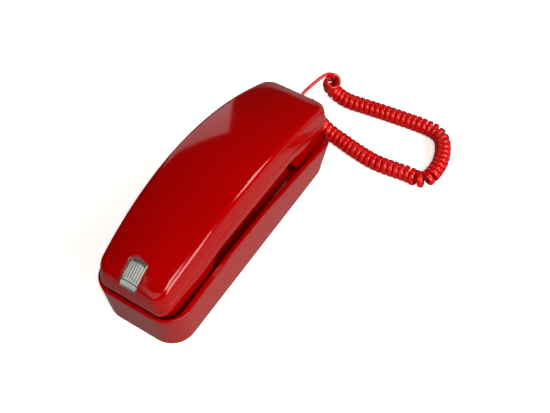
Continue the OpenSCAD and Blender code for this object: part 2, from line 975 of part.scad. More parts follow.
// One key: a cap through the dial face with a flange behind it.
module key(column, y) {
    x = column * key_pitch_x;
    color(red) {
        block(x, y, dial_face_z - key_out, key_w, key_l,
            dial_inner_z + 0.3 - dial_face_z + key_out);
        block(x, y, dial_inner_z + 0.2, key_w + 2 * key_flange, key_l + 2 * key_flange, 1);
    }
}

function row_y(r) = key_first_y + r * key_pitch_y;

// ---- cord ----

plug_face_y = end_wall_y + 6;
handset_plug_face_y = 109;
path_steps = 2;
lead_sides = 8;
coil_sides = 12;
base_lead_points = [
    [base_jack_x, plug_face_y, base_jack_z], [base_jack_x, plug_face_y + 8, 11],
    [-14.5, 126, 14], [-12.5, 139, 20], [-9.5, 146, 24], [-6, 154, 27.5],
    [-2.5, 159.5, 29.5], [2, 162, 29.5]
];
coil_points = [
    [4.5, 158.5, 26], [1, 160, 20], [1.5, 161.5, 14], [8, 162, 9], [19, 161.5, 7.5],
    [34, 163.5, 7.5], [63, 167.5, 7.5], [90, 170, 7.5], [102, 167, 7.5],
    [109.5, 157, 7.5], [114, 143, 7.5], [114.5, 131, 7.5], [112.5, 121, 7.5],
    [106, 117, 7.5], [97, 117, 7.5], [71.5, 114, 7.5], [50, 116.5, 7.5],
    [36, 119.5, 7.5], [24, 121, 9], [14.5, 121.5, 14], [9, 121.5, 21], [7.5, 120.5, 28]
];
handset_lead_points = [
    [7.5, 120.5, 28], [7.5, 119.5, 35], [8, 116, 42], [8, 112.5, 45.5],
    [handset_jack_x, handset_plug_face_y + 0.5, handset_jack_z]
];

// A smooth path through hand-placed points.
function knot(p, i) = p[max(0, min(len(p) - 1, i))];
function smooth(p, i, t) =
    let (a = knot(p, i - 1), b = knot(p, i), c = knot(p, i + 1), d = knot(p, i + 2))
    0.5 * (2 * b + (c - a) * t + (2 * a - 5 * b + 4 * c - d) * t * t
        + (3 * b - a - 3 * c + d) * t * t * t);
function path(p, steps) = concat(
    [for (i = [0:len(p) - 2], k = [0:steps - 1]) smooth(p, i, k / steps)],
    [p[len(p) - 1]]
);
function unit(v) = v / norm(v);
function heading(c, i) = unit(knot(c, i + 1) - knot(c, i - 1));
function side_of(d) = unit(cross(d, [1, 1, 2]));

// A round tube along a path, its first and last rings square to the given ends.
module tube_along(c, d, sides) {
    points = [
        for (i = [0:len(c) - 1])
            let (h = heading(c, i), u = side_of(h), v = cross(u, h))
            for (k = [0:sides - 1])
                c[i] + d / 2 * (u * cos(360 * k / sides) + v * sin(360 * k / sides))
    ];
    rings = len(c);
    walls = [
        for (i = [0:rings - 2], k = [0:sides - 1])
            let (a = i * sides + k, b = i * sides + (k + 1) % sides)
            each [[a, b, b + sides], [a, b + sides, a + sides]]
    ];
    caps = [
        [for (k = [sides - 1:-1:0]) k],
        [for (k = [0:sides - 1]) (rings - 1) * sides + k]
    ];
    polyhedron(points = points, faces = concat(walls, caps));
}

module cord_base_plug() {
    color(white)
        block(base_jack_x, plug_face_y - plug_len / 2, base_jack_z - plug_h / 2,
            plug_w, plug_len, plug_h);
}

module cord_base_lead() {
    color(red)
        tube_along(path(base_lead_points, path_steps), lead_d, lead_sides);
}

module cord_coil() {
    color(red)
        tube_along(path(coil_points, path_steps), coil_d, coil_sides);
}

module cord_handset_lead() {
    color(red)
        tube_along(path(handset_lead_points, path_steps), lead_d, lead_sides);
}

module cord_handset_plug() {
    color(white)
        block(handset_jack_x, handset_plug_face_y - plug_len / 2, handset_jack_z - plug_h / 2,
            plug_w, plug_len, plug_h);
}

// ---- drawing ----
base_housing();
base_bottom_plate();
rubber_feet();
base_screws();
base_circuit_board();
base_board_parts();
ballast_plate();
ringer_sounder();
base_handset_jack();
line_jack();
ringer_switch_body();
ringer_switch_knob();
hook_switch_body();
hook_plunger();
hook_lever();
hook_lever_pin();
hook_spring();
handset_back_shell();
handset_front_shell();
lamp_lens();
message_lamp();
receiver_capsule();
receiver_gasket();
microphone_capsule();
microphone_boot();
handset_circuit_board();
handset_ballast();
handset_jack();
handset_screws();
keypad_membrane();
dial_faceplate();
volume_switch_body();
volume_slide();
key(-1, row_y(0));  // key_1
key(0, row_y(0));  // key_2
key(1, row_y(0));  // key_3
key(-1, row_y(1));  // key_4
key(0, row_y(1));  // key_5
key(1, row_y(1));  // key_6
key(-1, row_y(2));  // key_7
key(0, row_y(2));  // key_8
key(1, row_y(2));  // key_9
key(-1, row_y(3));  // key_star
key(0, row_y(3));  // key_0
key(1, row_y(3));  // key_hash
key(-1, function_row_y);  // key_flash
key(0, function_row_y);  // key_redial
key(1, function_row_y);  // key_mute
cord_base_plug();
cord_base_lead();
cord_coil();
cord_handset_lead();
cord_handset_plug();
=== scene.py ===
"""Slimline corded telephone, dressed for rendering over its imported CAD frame.

Every piece is a surface worked out with numpy in metres, in the frame's own
axes: +Z is up, -Y is the receiver and lamp end, +Y is the cord end.
"""

import json
import logging
import math
from dataclasses import dataclass, field
from enum import Enum
from typing import Iterable, Optional, Sequence

import bmesh
import bpy
import numpy as np
from mathutils import Matrix, Vector


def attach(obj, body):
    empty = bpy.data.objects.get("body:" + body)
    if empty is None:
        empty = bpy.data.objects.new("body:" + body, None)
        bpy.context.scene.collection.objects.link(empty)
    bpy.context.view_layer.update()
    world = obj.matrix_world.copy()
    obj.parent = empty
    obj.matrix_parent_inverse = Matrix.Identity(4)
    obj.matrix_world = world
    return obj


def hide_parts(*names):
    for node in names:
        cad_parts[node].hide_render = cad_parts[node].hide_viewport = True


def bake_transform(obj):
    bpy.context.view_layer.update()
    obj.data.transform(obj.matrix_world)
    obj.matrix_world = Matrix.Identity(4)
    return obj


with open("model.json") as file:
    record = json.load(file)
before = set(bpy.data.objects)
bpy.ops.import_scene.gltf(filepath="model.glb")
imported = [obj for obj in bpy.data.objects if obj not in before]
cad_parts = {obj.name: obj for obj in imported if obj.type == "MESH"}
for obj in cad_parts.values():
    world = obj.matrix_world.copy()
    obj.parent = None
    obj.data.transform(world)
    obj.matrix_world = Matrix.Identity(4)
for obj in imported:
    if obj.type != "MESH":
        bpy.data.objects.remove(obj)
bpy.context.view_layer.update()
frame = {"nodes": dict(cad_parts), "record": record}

MM = 0.001
DRILL_SIDES = 24
log = logging.getLogger("telephone")

Points = np.ndarray


# ---------------------------------------------------------------- mesh making


def linked(name: str, data: bpy.types.ID) -> bpy.types.Object:
    """Makes an object of a mesh, curve, light or camera and links it to the scene."""
    made = bpy.data.objects.new(name, data)
    bpy.context.scene.collection.objects.link(made)
    return made


def shade(mesh: bpy.types.Mesh, sharp_deg: float) -> None:
    """Shades a mesh smooth, but for the edges that turn more than an angle."""
    mesh.shade_smooth()
    mesh.set_sharp_from_angle(angle=math.radians(sharp_deg))


def object_from(name: str, verts: Points, faces: Sequence[Sequence[int]]) -> bpy.types.Object:
    """Makes a linked mesh object at the origin.

    Args:
        name: The piece's name.
        verts: Points in metres, one row each.
        faces: Corner numbers of each face.

    Returns:
        The new object.
    """
    mesh = bpy.data.meshes.new(name)
    mesh.from_pydata(verts.tolist(), [], [list(f) for f in faces])
    mesh.update()
    return linked(name, mesh)


def ring_faces(rings: int, around: int, capped: bool = False) -> list[list[int]]:
    """Gives the quads that join each closed ring of points to the next one.

    Args:
        rings: How many rings there are.
        around: Points in each ring.
        capped: Whether to close both ends with a flat face.

    Returns:
        Corner numbers of each face.
    """
    i = np.arange(rings - 1)[:, None] * around
    j = np.arange(around)[None, :]
    k = (j + 1) % around
    quads = np.stack([i + j, i + k, i + around + k, i + around + j], axis=-1)
    faces = quads.reshape(-1, 4).tolist()
    if capped:
        faces.append(list(range(around))[::-1])
        faces.append(list(range((rings - 1) * around, rings * around)))
    return faces


def tidy_mesh(piece: bpy.types.Object, sharp_deg: float = 35.0, weld: float = 2e-6) -> None:
    """Welds doubled points, turns every face outwards and sets smooth shading.

    Args:
        piece: The mesh object.
        sharp_deg: Edges that turn more than this stay crisp.
        weld: Points nearer than this become one, in metres.
    """
    work = bmesh.new()
    work.from_mesh(piece.data)
    bmesh.ops.remove_doubles(work, verts=work.verts, dist=weld)
    bmesh.ops.dissolve_degenerate(work, edges=work.edges, dist=weld / 4)
    bmesh.ops.recalc_face_normals(work, faces=work.faces)
    work.to_mesh(piece.data)
    work.free()
    shade(piece.data, sharp_deg)


def ring_piece(name: str, rings: Sequence[Points], sharp_deg: float = 35.0,
               capped: bool = False) -> bpy.types.Object:
    """Skins a list of closed rings into one closed surface.

    The first and last rings are collapsed onto a line or a point by the caller,
    so that welding closes them, or capped means each gets one flat face.

    Args:
        name: The piece's name.
        rings: Closed rings of the same number of points, in metres.
        sharp_deg: Edges that turn more than this stay crisp.
        capped: Whether to close both ends with a flat face.

    Returns:
        The finished mesh object.
    """
    stack = np.stack(rings)
    faces = ring_faces(*stack.shape[:2], capped)
    piece = object_from(name, stack.reshape(-1, 3), faces)
    tidy_mesh(piece, sharp_deg)
    return piece


def cut(piece: bpy.types.Object, tools: Iterable[bpy.types.Object]) -> None:
    """Cuts each tool's volume out of a closed piece, then removes the tools.

    Args:
        piece: The closed mesh that is cut.
        tools: Closed meshes that are taken away.
    """
    for tool in list(tools):
        step = piece.modifiers.new("cut", "BOOLEAN")
        step.operation = "DIFFERENCE"
        step.solver = "EXACT"
        step.object = tool
        bpy.context.view_layer.update()
        graph = bpy.context.evaluated_depsgraph_get()
        result = bpy.data.meshes.new_from_object(piece.evaluated_get(graph))
        piece.modifiers.clear()
        old = piece.data
        piece.data = result
        result.name = piece.name
        bpy.data.meshes.remove(old)
        bpy.data.objects.remove(tool)


def join(name: str, parts: Sequence[bpy.types.Object]) -> bpy.types.Object:
    """Puts several mesh objects into one, keeping each one's own closed shell.

    Args:
        name: The joined piece's name.
        parts: The mesh objects, which are removed.

    Returns:
        One object that holds all their faces.
    """
    work = bmesh.new()
    for part in parts:
        work.from_mesh(part.data)
    mesh = bpy.data.meshes.new(name)
    work.to_mesh(mesh)
    work.free()
    for part in parts:
        bpy.data.objects.remove(part)
    shade(mesh, 35)
    return linked(name, mesh)


def round_rect(half_len: float, half_w: float, radius: float, centre_y: float = 0.0,
               corner: int = 12, long_side: int = 40, short_side: int = 14) -> Points:
    """Gives a rounded rectangle as x, y points, counterclockwise from the +X side.

    Each corner is a quarter circle, and each side is evenly divided.

    Args:
        half_len: Half the size along Y.
        half_w: Half the size along X.
        radius: Corner radius.
        centre_y: Where its middle lies along Y.
        corner: Points on each corner.
        long_side: Points on each side along Y.
        short_side: Points on each side along X.

    Returns:
        One row for each point.
    """
    radius = min(radius, half_w - 1e-6, half_len - 1e-6)
    turn = np.linspace(0, math.pi / 2, corner)
    pieces = []
    for k, (sx, sy) in enumerate(((1, 1), (-1, 1), (-1, -1), (1, -1))):
        angle = turn + k * math.pi / 2
        pieces.append(np.stack([
            sx * (half_w - radius) + radius * np.cos(angle),
            sy * (half_len - radius) + radius * np.sin(angle),
        ], axis=1))
    outline = []
    for k in range(4):
        outline.append(pieces[k])
        start, end = pieces[k][-1], pieces[(k + 1) % 4][0]
        steps = short_side if k % 2 == 0 else long_side
        part = np.linspace(0, 1, steps + 2)[1:-1, None]
        outline.append(start + (end - start) * part)
    points = np.concatenate(outline)
    points[:, 1] += centre_y
    return points


def with_height(plan: Points, height: Points | float) -> Points:
    """Puts a height on every x, y point of a plan."""
    return np.column_stack([plan, np.broadcast_to(height, len(plan))])


def bend(start: Points, corner: Points, end: Points, steps: int) -> list[Points]:
    """Rounds a corner between rings: a quadratic curve drawn through each point.

    The curve leaves start towards corner and arrives at end from corner.

    Args:
        start: Ring where the rounding begins.
        corner: Ring of the sharp corner's points.
        end: Ring where the rounding ends.
        steps: How many rings to give, the two end rings among them.

    Returns:
        The rings in order.
    """
    ts = np.linspace(0, 1, steps)
    return [(1 - t) ** 2 * start + 2 * t * (1 - t) * corner + t * t * end for t in ts]


def drawn_in(ring: Points, end: float, share: float) -> Points:
    """Draws a ring's plan in towards a middle line along Y.

    Each point moves towards its own place along Y on the line, held between its ends.

    Args:
        ring: The ring, of which x and y are used.
        end: Where the line ends, on either side of the middle.
        share: 1 leaves the plan as it is and 0 puts it on the line.

    Returns:
        Points x, y.
    """
    line = np.column_stack([np.zeros(len(ring)), np.clip(ring[:, 1], -end, end)])
    return line + (ring[:, :2] - line) * share


def toward(a: Points, b: Points, distance: float) -> Points:
    """Moves each point of ring a towards its partner in ring b by a distance."""
    step = b - a
    length = np.linalg.norm(step, axis=1, keepdims=True)
    return a + step * np.minimum(1.0, distance / np.maximum(length, 1e-9))


def blocky(low: Sequence[float], high: Sequence[float]) -> bpy.types.Object:
    """Makes a plain cutting block between two corners, in metres."""
    lo, hi = np.array(low), np.array(high)
    grid = np.array([[x, y, z] for x in (0, 1) for y in (0, 1) for z in (0, 1)])
    faces = [(0, 1, 3, 2), (4, 6, 7, 5), (0, 4, 5, 1), (2, 3, 7, 6), (0, 2, 6, 4), (1, 5, 7, 3)]
    return object_from("cutter", lo + grid * (hi - lo), faces)


def drill(x: float, y: float, low: float, high: float, radius: float) -> bpy.types.Object:
    """Makes a plain upright cutting rod, in metres."""
    angle = np.linspace(0, 2 * math.pi, DRILL_SIDES, endpoint=False)
    plan = np.stack([x + radius * np.cos(angle), y + radius * np.sin(angle)], axis=1)
    rings = [with_height(plan, low), with_height(plan, high)]
    return ring_piece("drill", rings, capped=True)


def sheet_normals(grid: Points) -> Points:
    """Gives the unit normals of a grid surface from its own slopes.

    Args:
        grid: Points, rows by columns by 3.

    Returns:
        Unit vectors in the same layout.
    """
    normal = np.cross(np.gradient(grid, axis=1), np.gradient(grid, axis=0))
    return normal / np.maximum(np.linalg.norm(normal, axis=2, keepdims=True), 1e-12)


def slab_piece(name: str, upper: Points, lower: Points,
               sharp_deg: float = 40.0) -> bpy.types.Object:
    """Closes the space between two grid surfaces of the same size.

    Args:
        name: The piece's name.
        upper: The outer surface, rows by columns by 3.
        lower: The inner surface in the same layout.
        sharp_deg: Edges that turn more than this stay crisp.

    Returns:
        The closed mesh object.
    """
    rows, cols = upper.shape[:2]
    index = np.arange(rows * cols).reshape(rows, cols)
    top = np.stack([index[:-1, :-1], index[:-1, 1:], index[1:, 1:], index[1:, :-1]], axis=-1)
    under = top[..., ::-1] + rows * cols
    rim = np.concatenate([
        index[0, :-1], index[:-1, -1], index[-1, :0:-1], index[:0:-1, 0]
    ])
    after = np.roll(rim, -1)
    wall = np.stack([rim, after, after + rows * cols, rim + rows * cols], axis=-1)
    faces = np.concatenate([top.reshape(-1, 4), under.reshape(-1, 4), wall])
    verts = np.concatenate([upper.reshape(-1, 3), lower.reshape(-1, 3)])
    piece = object_from(name, verts, faces.tolist())
    tidy_mesh(piece, sharp_deg)
    return piece


# ---------------------------------------------------------------- the phone's forms


def ease(t: Points) -> Points:
    """Smooth step: three t squared less two t cubed, held between 0 and 1."""
    t = np.clip(t, 0, 1)
    return t * t * (3 - 2 * t)


@dataclass(frozen=True)
class HandsetForm:
    """The handset's outer form, as heights and outlines worked out from a few sizes."""

    low_half_len: float = 0.108
    crease_half_len: float = 0.107
    low_half_w: float = 0.0345
    crease_half_w: float = 0.0315
    waist: float = 0.0064
    reach: float = 0.113
    corner_r: float = 0.0095
    crease_z: float = 0.083
    crease_drop: float = 0.027
    crease_tilt: float = 0.003
    low_z: float = 0.060
    low_drop: float = 0.021
    low_tilt: float = 0.002
    crown: float = 0.0035
    crown_fade: float = 0.016
    crown_at_ends: float = 0.15
    crease_r: float = 0.0042
    side_swell: float = 0.0005
    shell: float = 0.0022
    parting_z: float = 0.069
    parting_r: float = 0.259
    parting_shift: float = 0.007
    face_z: float = 0.024
    dial_z: float = 0.053
    dial_half: float = 0.042
    arch_half: float = 0.064
    arch_straight: float = 0.6
    face_half_len: float = 0.098
    face_margin: float = 0.0032
    steps_along: int = 90

    def crease_height(self, y: Points) -> Points:
        """A parabola along the handset, tilted so that the cord end is lower."""
        t = y / self.reach
        return self.crease_z - self.crease_tilt * t - self.crease_drop * t * t

    def lower_height(self, y: Points) -> Points:
        """A flatter parabola: the height of the handset's widest edge."""
        t = y / self.reach
        return self.low_z - self.low_tilt * t - self.low_drop * t * t

    def parting_height(self, y: Points) -> Points:
        """The top of a large circle seen from the side."""
        rise = np.sqrt(self.parting_r ** 2 - (y + self.parting_shift) ** 2)
        return self.parting_z - self.parting_r + rise

    def back_height(self, x: Points, y: Points) -> Points:
        """The crease's height plus a crown, a parabola across that fades at the ends."""
        half_w = self.crease_half_w - self.waist * (y / self.reach) ** 2
        across = 1 - np.clip(np.abs(x) / half_w, 0, 1) ** 2
        fade = ease((self.crease_half_len - np.abs(y)) / self.crown_fade)
        share = self.crown_at_ends + (1 - self.crown_at_ends) * fade
        return self.crease_height(y) + self.crown * across * share

    def face_height(self, y: Points) -> Points:
        """The underside: flat ends, a flat middle, and eased slopes between them."""
        t = (self.arch_half - np.abs(y)) / (self.arch_half - self.dial_half)
        slope = self.arch_straight * np.clip(t, 0, 1) + (1 - self.arch_straight) * ease(t)
        return self.face_z + (self.dial_z - self.face_z) * slope

    def outline(self, half_len: float, half_w: float, inset: float = 0.0) -> Points:
        """Gives a barrel-sided plan: a rounded rectangle narrowed by a parabola.

        Args:
            half_len: Half its length.
            half_w: Half its width in the middle.
            inset: How far it is drawn in on every side.

        Returns:
            Points x, y around the plan.
        """
        plan = round_rect(half_len - inset, half_w - inset, self.corner_r - inset,
                          long_side=self.steps_along)
        narrow = 1 - self.waist / self.low_half_w * (plan[:, 1] / self.reach) ** 2
        plan[:, 0] *= narrow
        return plan

    def low_ring(self, inset: float = 0.0) -> Points:
        """The ring along the handset's widest edge."""
        plan = self.outline(self.low_half_len, self.low_half_w, inset)
        return with_height(plan, self.lower_height(plan[:, 1]))

    def crease_ring(self, inset: float = 0.0) -> Points:
        """The ring along the crease between side and back."""
        plan = self.outline(self.crease_half_len, self.crease_half_w, inset)
        return with_height(plan, self.crease_height(plan[:, 1]) - inset)

    def side_ring(self, share: Points | float, inset: float = 0.0) -> Points:
        """A ring part of the way up the side, slightly swollen between its edges.

        Args:
            share: 0 at the lower edge and 1 at the crease, one number or one a point.
            inset: How far it lies inside the outer surface.

        Returns:
            The ring.
        """
        low, crease = self.low_ring(inset), self.crease_ring(inset)
        part = np.broadcast_to(share, len(low))[:, None]
        ring = low + (crease - low) * part
        out = low[:, :2] / np.linalg.norm(low[:, :2], axis=1, keepdims=True)
        ring[:, :2] += out * self.side_swell * np.sin(math.pi * part)
        return ring

    def parting_share(self, gap: float = 0.0) -> Points:
        """How far up the side the parting line lies, at each point of a ring."""
        low, crease = self.low_ring(), self.crease_ring()
        height = self.parting_height(low[:, 1]) + gap
        return (height - low[:, 2]) / (crease[:, 2] - low[:, 2])

    def back_ring(self, share: float, drop: float = 0.0) -> Points:
        """A ring on the back, drawn in from the crease towards the middle line.

        Args:
            share: 1 at the crease and 0 on the middle line.
            drop: How far below the outer surface it lies.

        Returns:
            The ring.
        """
        end = self.crease_half_len - self.crease_half_w
        plan = drawn_in(self.crease_ring(drop), end, share)
        return with_height(plan, self.back_height(plan[:, 0], plan[:, 1]) - drop)

    def face_ring(self, share: float, inset: float = 0.0) -> Points:
        """A ring on the underside, drawn in towards the middle line.

        Args:
            share: 1 at the face's edge and 0 on the middle line.
            inset: How far it lies inside the outer surface.

        Returns:
            The ring.
        """
        edge = self.outline(self.face_half_len, self.low_half_w - self.face_margin, inset)
        plan = drawn_in(edge, self.face_half_len - self.low_half_w, share)
        return with_height(plan, self.face_height(plan[:, 1]) + inset)


@dataclass(frozen=True)
class BaseForm:
    """The base's outer form: a drafted tub with a curved rim and a humped cradle."""

    foot_half_len: float = 0.103
    rim_half_len: float = 0.113
    foot_half_w: float = 0.035
    rim_half_w: float = 0.037
    foot_shift: float = -0.003
    rim_shift: float = 0.0032
    corner_r: float = 0.018
    foot_z: float = 0.0015
    top_z: float = 0.0425
    rim_peak_z: float = 0.0415
    rim_peak_y: float = -0.0375
    rim_arc_r: float = 0.630
    wall: float = 0.0025
    deck_z: float = 0.0238
    pocket_half_len: float = 0.10625
    pocket_half_w: float = 0.033
    pocket_r: float = 0.013
    hump_z: float = 0.048
    hump_half_w: float = 0.026
    hump_top_half: float = 0.042
    hump_foot_half: float = 0.060
    hump_draft: float = 0.012
    hump_corner_r: float = 0.003
    hump_round: float = 0.0025

    def rim_height(self, y: Points) -> Points:
        """The top of a large circle seen from the side."""
        rise = np.sqrt(self.rim_arc_r ** 2 - (y - self.rim_peak_y) ** 2)
        return self.rim_peak_z - self.rim_arc_r + rise

    def wall_plan(self, level: Points | float, inset: float = 0.0) -> Points:
        """The tub's plan at a height, which grows evenly from foot to rim.

        Args:
            level: Height, one number or one for each point.
            inset: How far inside the outer surface it lies.

        Returns:
            Points x, y around the plan.
        """
        foot = round_rect(self.foot_half_len - inset, self.foot_half_w - inset,
                          self.corner_r - inset, self.foot_shift)
        rim = round_rect(self.rim_half_len - inset, self.rim_half_w - inset,
                         self.corner_r - inset, self.rim_shift)
        share = (np.broadcast_to(level, len(foot)) - self.foot_z) / (self.top_z - self.foot_z)
        return foot + (rim - foot) * share[:, None]

    def wall_ring(self, share: float) -> Points:
        """A ring part of the way up the outside wall, from foot (0) to rim (1)."""
        plan = self.wall_plan(self.rim_peak_z)
        for _ in range(4):
            top = self.rim_height(plan[:, 1])
            level = self.foot_z + (top - self.foot_z) * share
            plan = self.wall_plan(level)
        return with_height(plan, level)

    def pocket_plan(self, inset: float = 0.0) -> Points:
        """The cradle pocket's plan."""
        return round_rect(self.pocket_half_len - inset, self.pocket_half_w - inset,
                          self.pocket_r - inset)


# ---------------------------------------------------------------- finishes


class Slot(Enum):
    """The record's material slots."""

    RED_SHELL = "red_shell"
    DARK_RED = "dark_red_plastic"
    KEY = "key_plastic"
    BLACK = "black_plastic"
    WHITE = "white_plastic"
    CLEAR_LENS = "clear_lens"
    CLEAR_PLUG = "clear_plug"
    CORD = "cord_red"
    RUBBER = "rubber"
    SILICONE = "silicone"
    STEEL = "steel"
    BALLAST = "ballast_steel"
    CAPSULE = "capsule_metal"
    BOARD = "board"
    LAMP = "lamp"


class Graph:
    """A short way to add nodes to a tree and join them."""

    def __init__(self, tree: bpy.types.NodeTree) -> None:
        """Keeps the tree and empties it."""
        self.tree = tree
        tree.nodes.clear()

    def add(self, kind: str, **settings: object) -> bpy.types.Node:
        """Adds a node.

        Args:
            kind: The node's class name without the word ShaderNode.
            settings: Its properties, or its unlinked inputs by name.

        Returns:
            The node.
        """
        node = self.tree.nodes.new("ShaderNode" + kind)
        for name, value in settings.items():
            if hasattr(node, name):
                setattr(node, name, value)
            else:
                node.inputs[name.replace("_", " ")].default_value = value
        return node

    def join(self, out: bpy.types.NodeSocket, into: bpy.types.NodeSocket) -> None:
        """Joins an output to an input."""
        self.tree.links.new(out, into)

    def sum(self, kind: str, a: object, b: object) -> bpy.types.NodeSocket:
        """Adds a maths node.

        Args:
            kind: The operation.
            a: A socket or a number.
            b: A socket or a number.

        Returns:
            Its output.
        """
        node = self.add("Math", operation=kind)
        for index, value in enumerate((a, b)):
            if isinstance(value, bpy.types.NodeSocket):
                self.join(value, node.inputs[index])
            else:
                node.inputs[index].default_value = value
        return node.outputs[0]

    def noise(self, scale: object, detail: float = 3.0,
              stretch: Optional[Sequence[float]] = None) -> bpy.types.NodeSocket:
        """Adds noise over object coordinates.

        Args:
            scale: Waves a metre, a socket or a number.
            detail: Octaves.
            stretch: How much finer it is along each axis.

        Returns:
            The noise's value.
        """
        place = self.add("TexCoord").outputs["Object"]
        if stretch is not None:
            mapping = self.add("Mapping", Scale=stretch)
            self.join(place, mapping.inputs["Vector"])
            place = mapping.outputs["Vector"]
        node = self.add("TexNoise", Detail=detail)
        if isinstance(scale, bpy.types.NodeSocket):
            self.join(scale, node.inputs["Scale"])
        else:
            node.inputs["Scale"].default_value = scale
        self.join(place, node.inputs["Vector"])
        return node.outputs["Fac"]

    def ramp(self, value: bpy.types.NodeSocket, low: float, high: float,
             to_low: float = 0.0, to_high: float = 1.0) -> bpy.types.NodeSocket:
        """Maps a value from one range onto another and holds it there."""
        node = self.add("MapRange")
        for name, number in (("From Min", low), ("From Max", high),
                             ("To Min", to_low), ("To Max", to_high)):
            node.inputs[name].default_value = number
        self.join(value, node.inputs["Value"])
        return node.outputs["Result"]


@dataclass(frozen=True)
class SkinWaves:
    """Waves a metre of each of the moulded skin's patterns, and how deep its bump is."""

    rubs: float = 90.0
    patches: float = 28.0
    specks: float = 1400.0
    film: float = 45.0
    drift: float = 11.0
    scuff_height: float = 0.15
    bump: float = 0.0003


def skin_group(waves: SkinWaves = SkinWaves()) -> bpy.types.NodeTree:
    """Builds the shared moulded-skin effect once.

    Peel is a soft waviness, Scuff a mask of fine lengthwise rubs, Dust a mask that
    settles on upward faces, and Drift a slow change from place to place.

    Args:
        waves: The patterns' scales.

    Returns:
        The node group.
    """
    name = "moulded_skin"
    if name in bpy.data.node_groups:
        return bpy.data.node_groups[name]
    tree = bpy.data.node_groups.new(name, "ShaderNodeTree")
    face = tree.interface
    for label, start in (("Peel Scale", 300.0), ("Peel Depth", 0.05), ("Scuff", 0.2), ("Dust", 0.1)):
        face.new_socket(label, in_out="INPUT", socket_type="NodeSocketFloat").default_value = start
    face.new_socket("Normal", in_out="OUTPUT", socket_type="NodeSocketVector")
    for label in ("Scuff", "Dust", "Drift"):
        face.new_socket(label, in_out="OUTPUT", socket_type="NodeSocketFloat")
    graph = Graph(tree)
    given = tree.nodes.new("NodeGroupInput").outputs
    out = tree.nodes.new("NodeGroupOutput").inputs
    rubs = graph.ramp(graph.noise(waves.rubs, 6.0, (6.0, 1.0, 3.0)), 0.60, 0.74)
    patches = graph.ramp(graph.noise(waves.patches, 4.0), 0.42, 0.66)
    scuff = graph.sum("MULTIPLY", graph.sum("MULTIPLY", rubs, patches), given["Scuff"])
    facing = graph.add("SeparateXYZ")
    graph.join(graph.add("NewGeometry").outputs["Normal"], facing.inputs[0])
    up = graph.ramp(facing.outputs["Z"], 0.35, 1.0)
    specks = graph.ramp(graph.noise(waves.specks, 2.0), 0.66, 0.76)
    film = graph.ramp(graph.noise(waves.film, 5.0), 0.45, 0.75, 0.0, 0.3)
    settled = graph.sum("MULTIPLY", graph.sum("ADD", specks, film), up)
    dust = graph.sum("MULTIPLY", settled, given["Dust"])
    height = graph.sum("ADD", graph.noise(given["Peel Scale"], 1.5),
                       graph.sum("MULTIPLY", scuff, waves.scuff_height))
    bump = graph.add("Bump", Distance=waves.bump)
    graph.join(given["Peel Depth"], bump.inputs["Strength"])
    graph.join(height, bump.inputs["Height"])
    graph.join(bump.outputs["Normal"], out["Normal"])
    graph.join(scuff, out["Scuff"])
    graph.join(dust, out["Dust"])
    graph.join(graph.noise(waves.drift, 2.0), out["Drift"])
    return tree


@dataclass(frozen=True)
class Finish:
    """One procedural surface finish."""

    slot: Slot
    colour: tuple[float, float, float]
    roughness: float
    metallic: float = 0.0
    transmission: float = 0.0
    ior: float = 1.49
    specular: float = 0.5
    sheen: float = 0.0
    peel_scale: float = 300.0
    peel_depth: float = 0.05
    scuff: float = 0.25
    dust: float = 0.10
    drift: float = 0.10
    rough_drift: float = 0.2
    scuff_rough: float = 0.5
    dust_rough: float = 0.4
    dust_colour: tuple[float, float, float] = (0.55, 0.50, 0.46)

    def material(self) -> bpy.types.Material:
        """Builds the material once and gives it back each time.

        Its name is not the slot's own, which the frame's plain materials hold.

        Returns:
            The material, named after its slot.
        """
        name = f"{self.slot.value}_finish"
        if name in bpy.data.materials:
            return bpy.data.materials[name]
        made = bpy.data.materials.new(name)
        made.use_nodes = True
        graph = Graph(made.node_tree)
        shader = graph.add("BsdfPrincipled", Metallic=self.metallic, IOR=self.ior)
        shader.inputs["Transmission Weight"].default_value = self.transmission
        shader.inputs["Specular IOR Level"].default_value = self.specular
        shader.inputs["Sheen Weight"].default_value = self.sheen
        skin = graph.add("Group", node_tree=skin_group())
        for label, value in (("Peel Scale", self.peel_scale), ("Peel Depth", self.peel_depth),
                             ("Scuff", self.scuff), ("Dust", self.dust)):
            skin.inputs[label].default_value = value
        graph.join(skin.outputs["Normal"], shader.inputs["Normal"])
        shade = graph.add("HueSaturation")
        shade.inputs["Color"].default_value = (*self.colour, 1)
        value = graph.ramp(skin.outputs["Drift"], 0.3, 0.7, 1 - self.drift, 1 + self.drift)
        graph.join(value, shade.inputs["Value"])
        tint = graph.add("Mix", data_type="RGBA")
        tint.inputs[7].default_value = (*self.dust_colour, 1)
        graph.join(skin.outputs["Dust"], tint.inputs[0])
        graph.join(shade.outputs["Color"], tint.inputs[6])
        graph.join(tint.outputs[2], shader.inputs["Base Color"])
        rough = graph.sum("ADD", graph.sum("MULTIPLY", skin.outputs["Scuff"], self.scuff_rough),
                          graph.sum("MULTIPLY", skin.outputs["Dust"], self.dust_rough))
        drifted = graph.ramp(skin.outputs["Drift"], 0.3, 0.7,
                             self.roughness * (1 - self.rough_drift),
                             self.roughness * (1 + self.rough_drift))
        graph.join(graph.sum("ADD", drifted, rough), shader.inputs["Roughness"])
        end = graph.add("OutputMaterial")
        graph.join(shader.outputs["BSDF"], end.inputs["Surface"])
        return made

    def dress(self, piece: bpy.types.Object) -> bpy.types.Object:
        """Gives a piece this finish.

        Args:
            piece: A new piece.

        Returns:
            The same piece.
        """
        piece.data.materials.clear()
        piece.data.materials.append(self.material())
        return piece


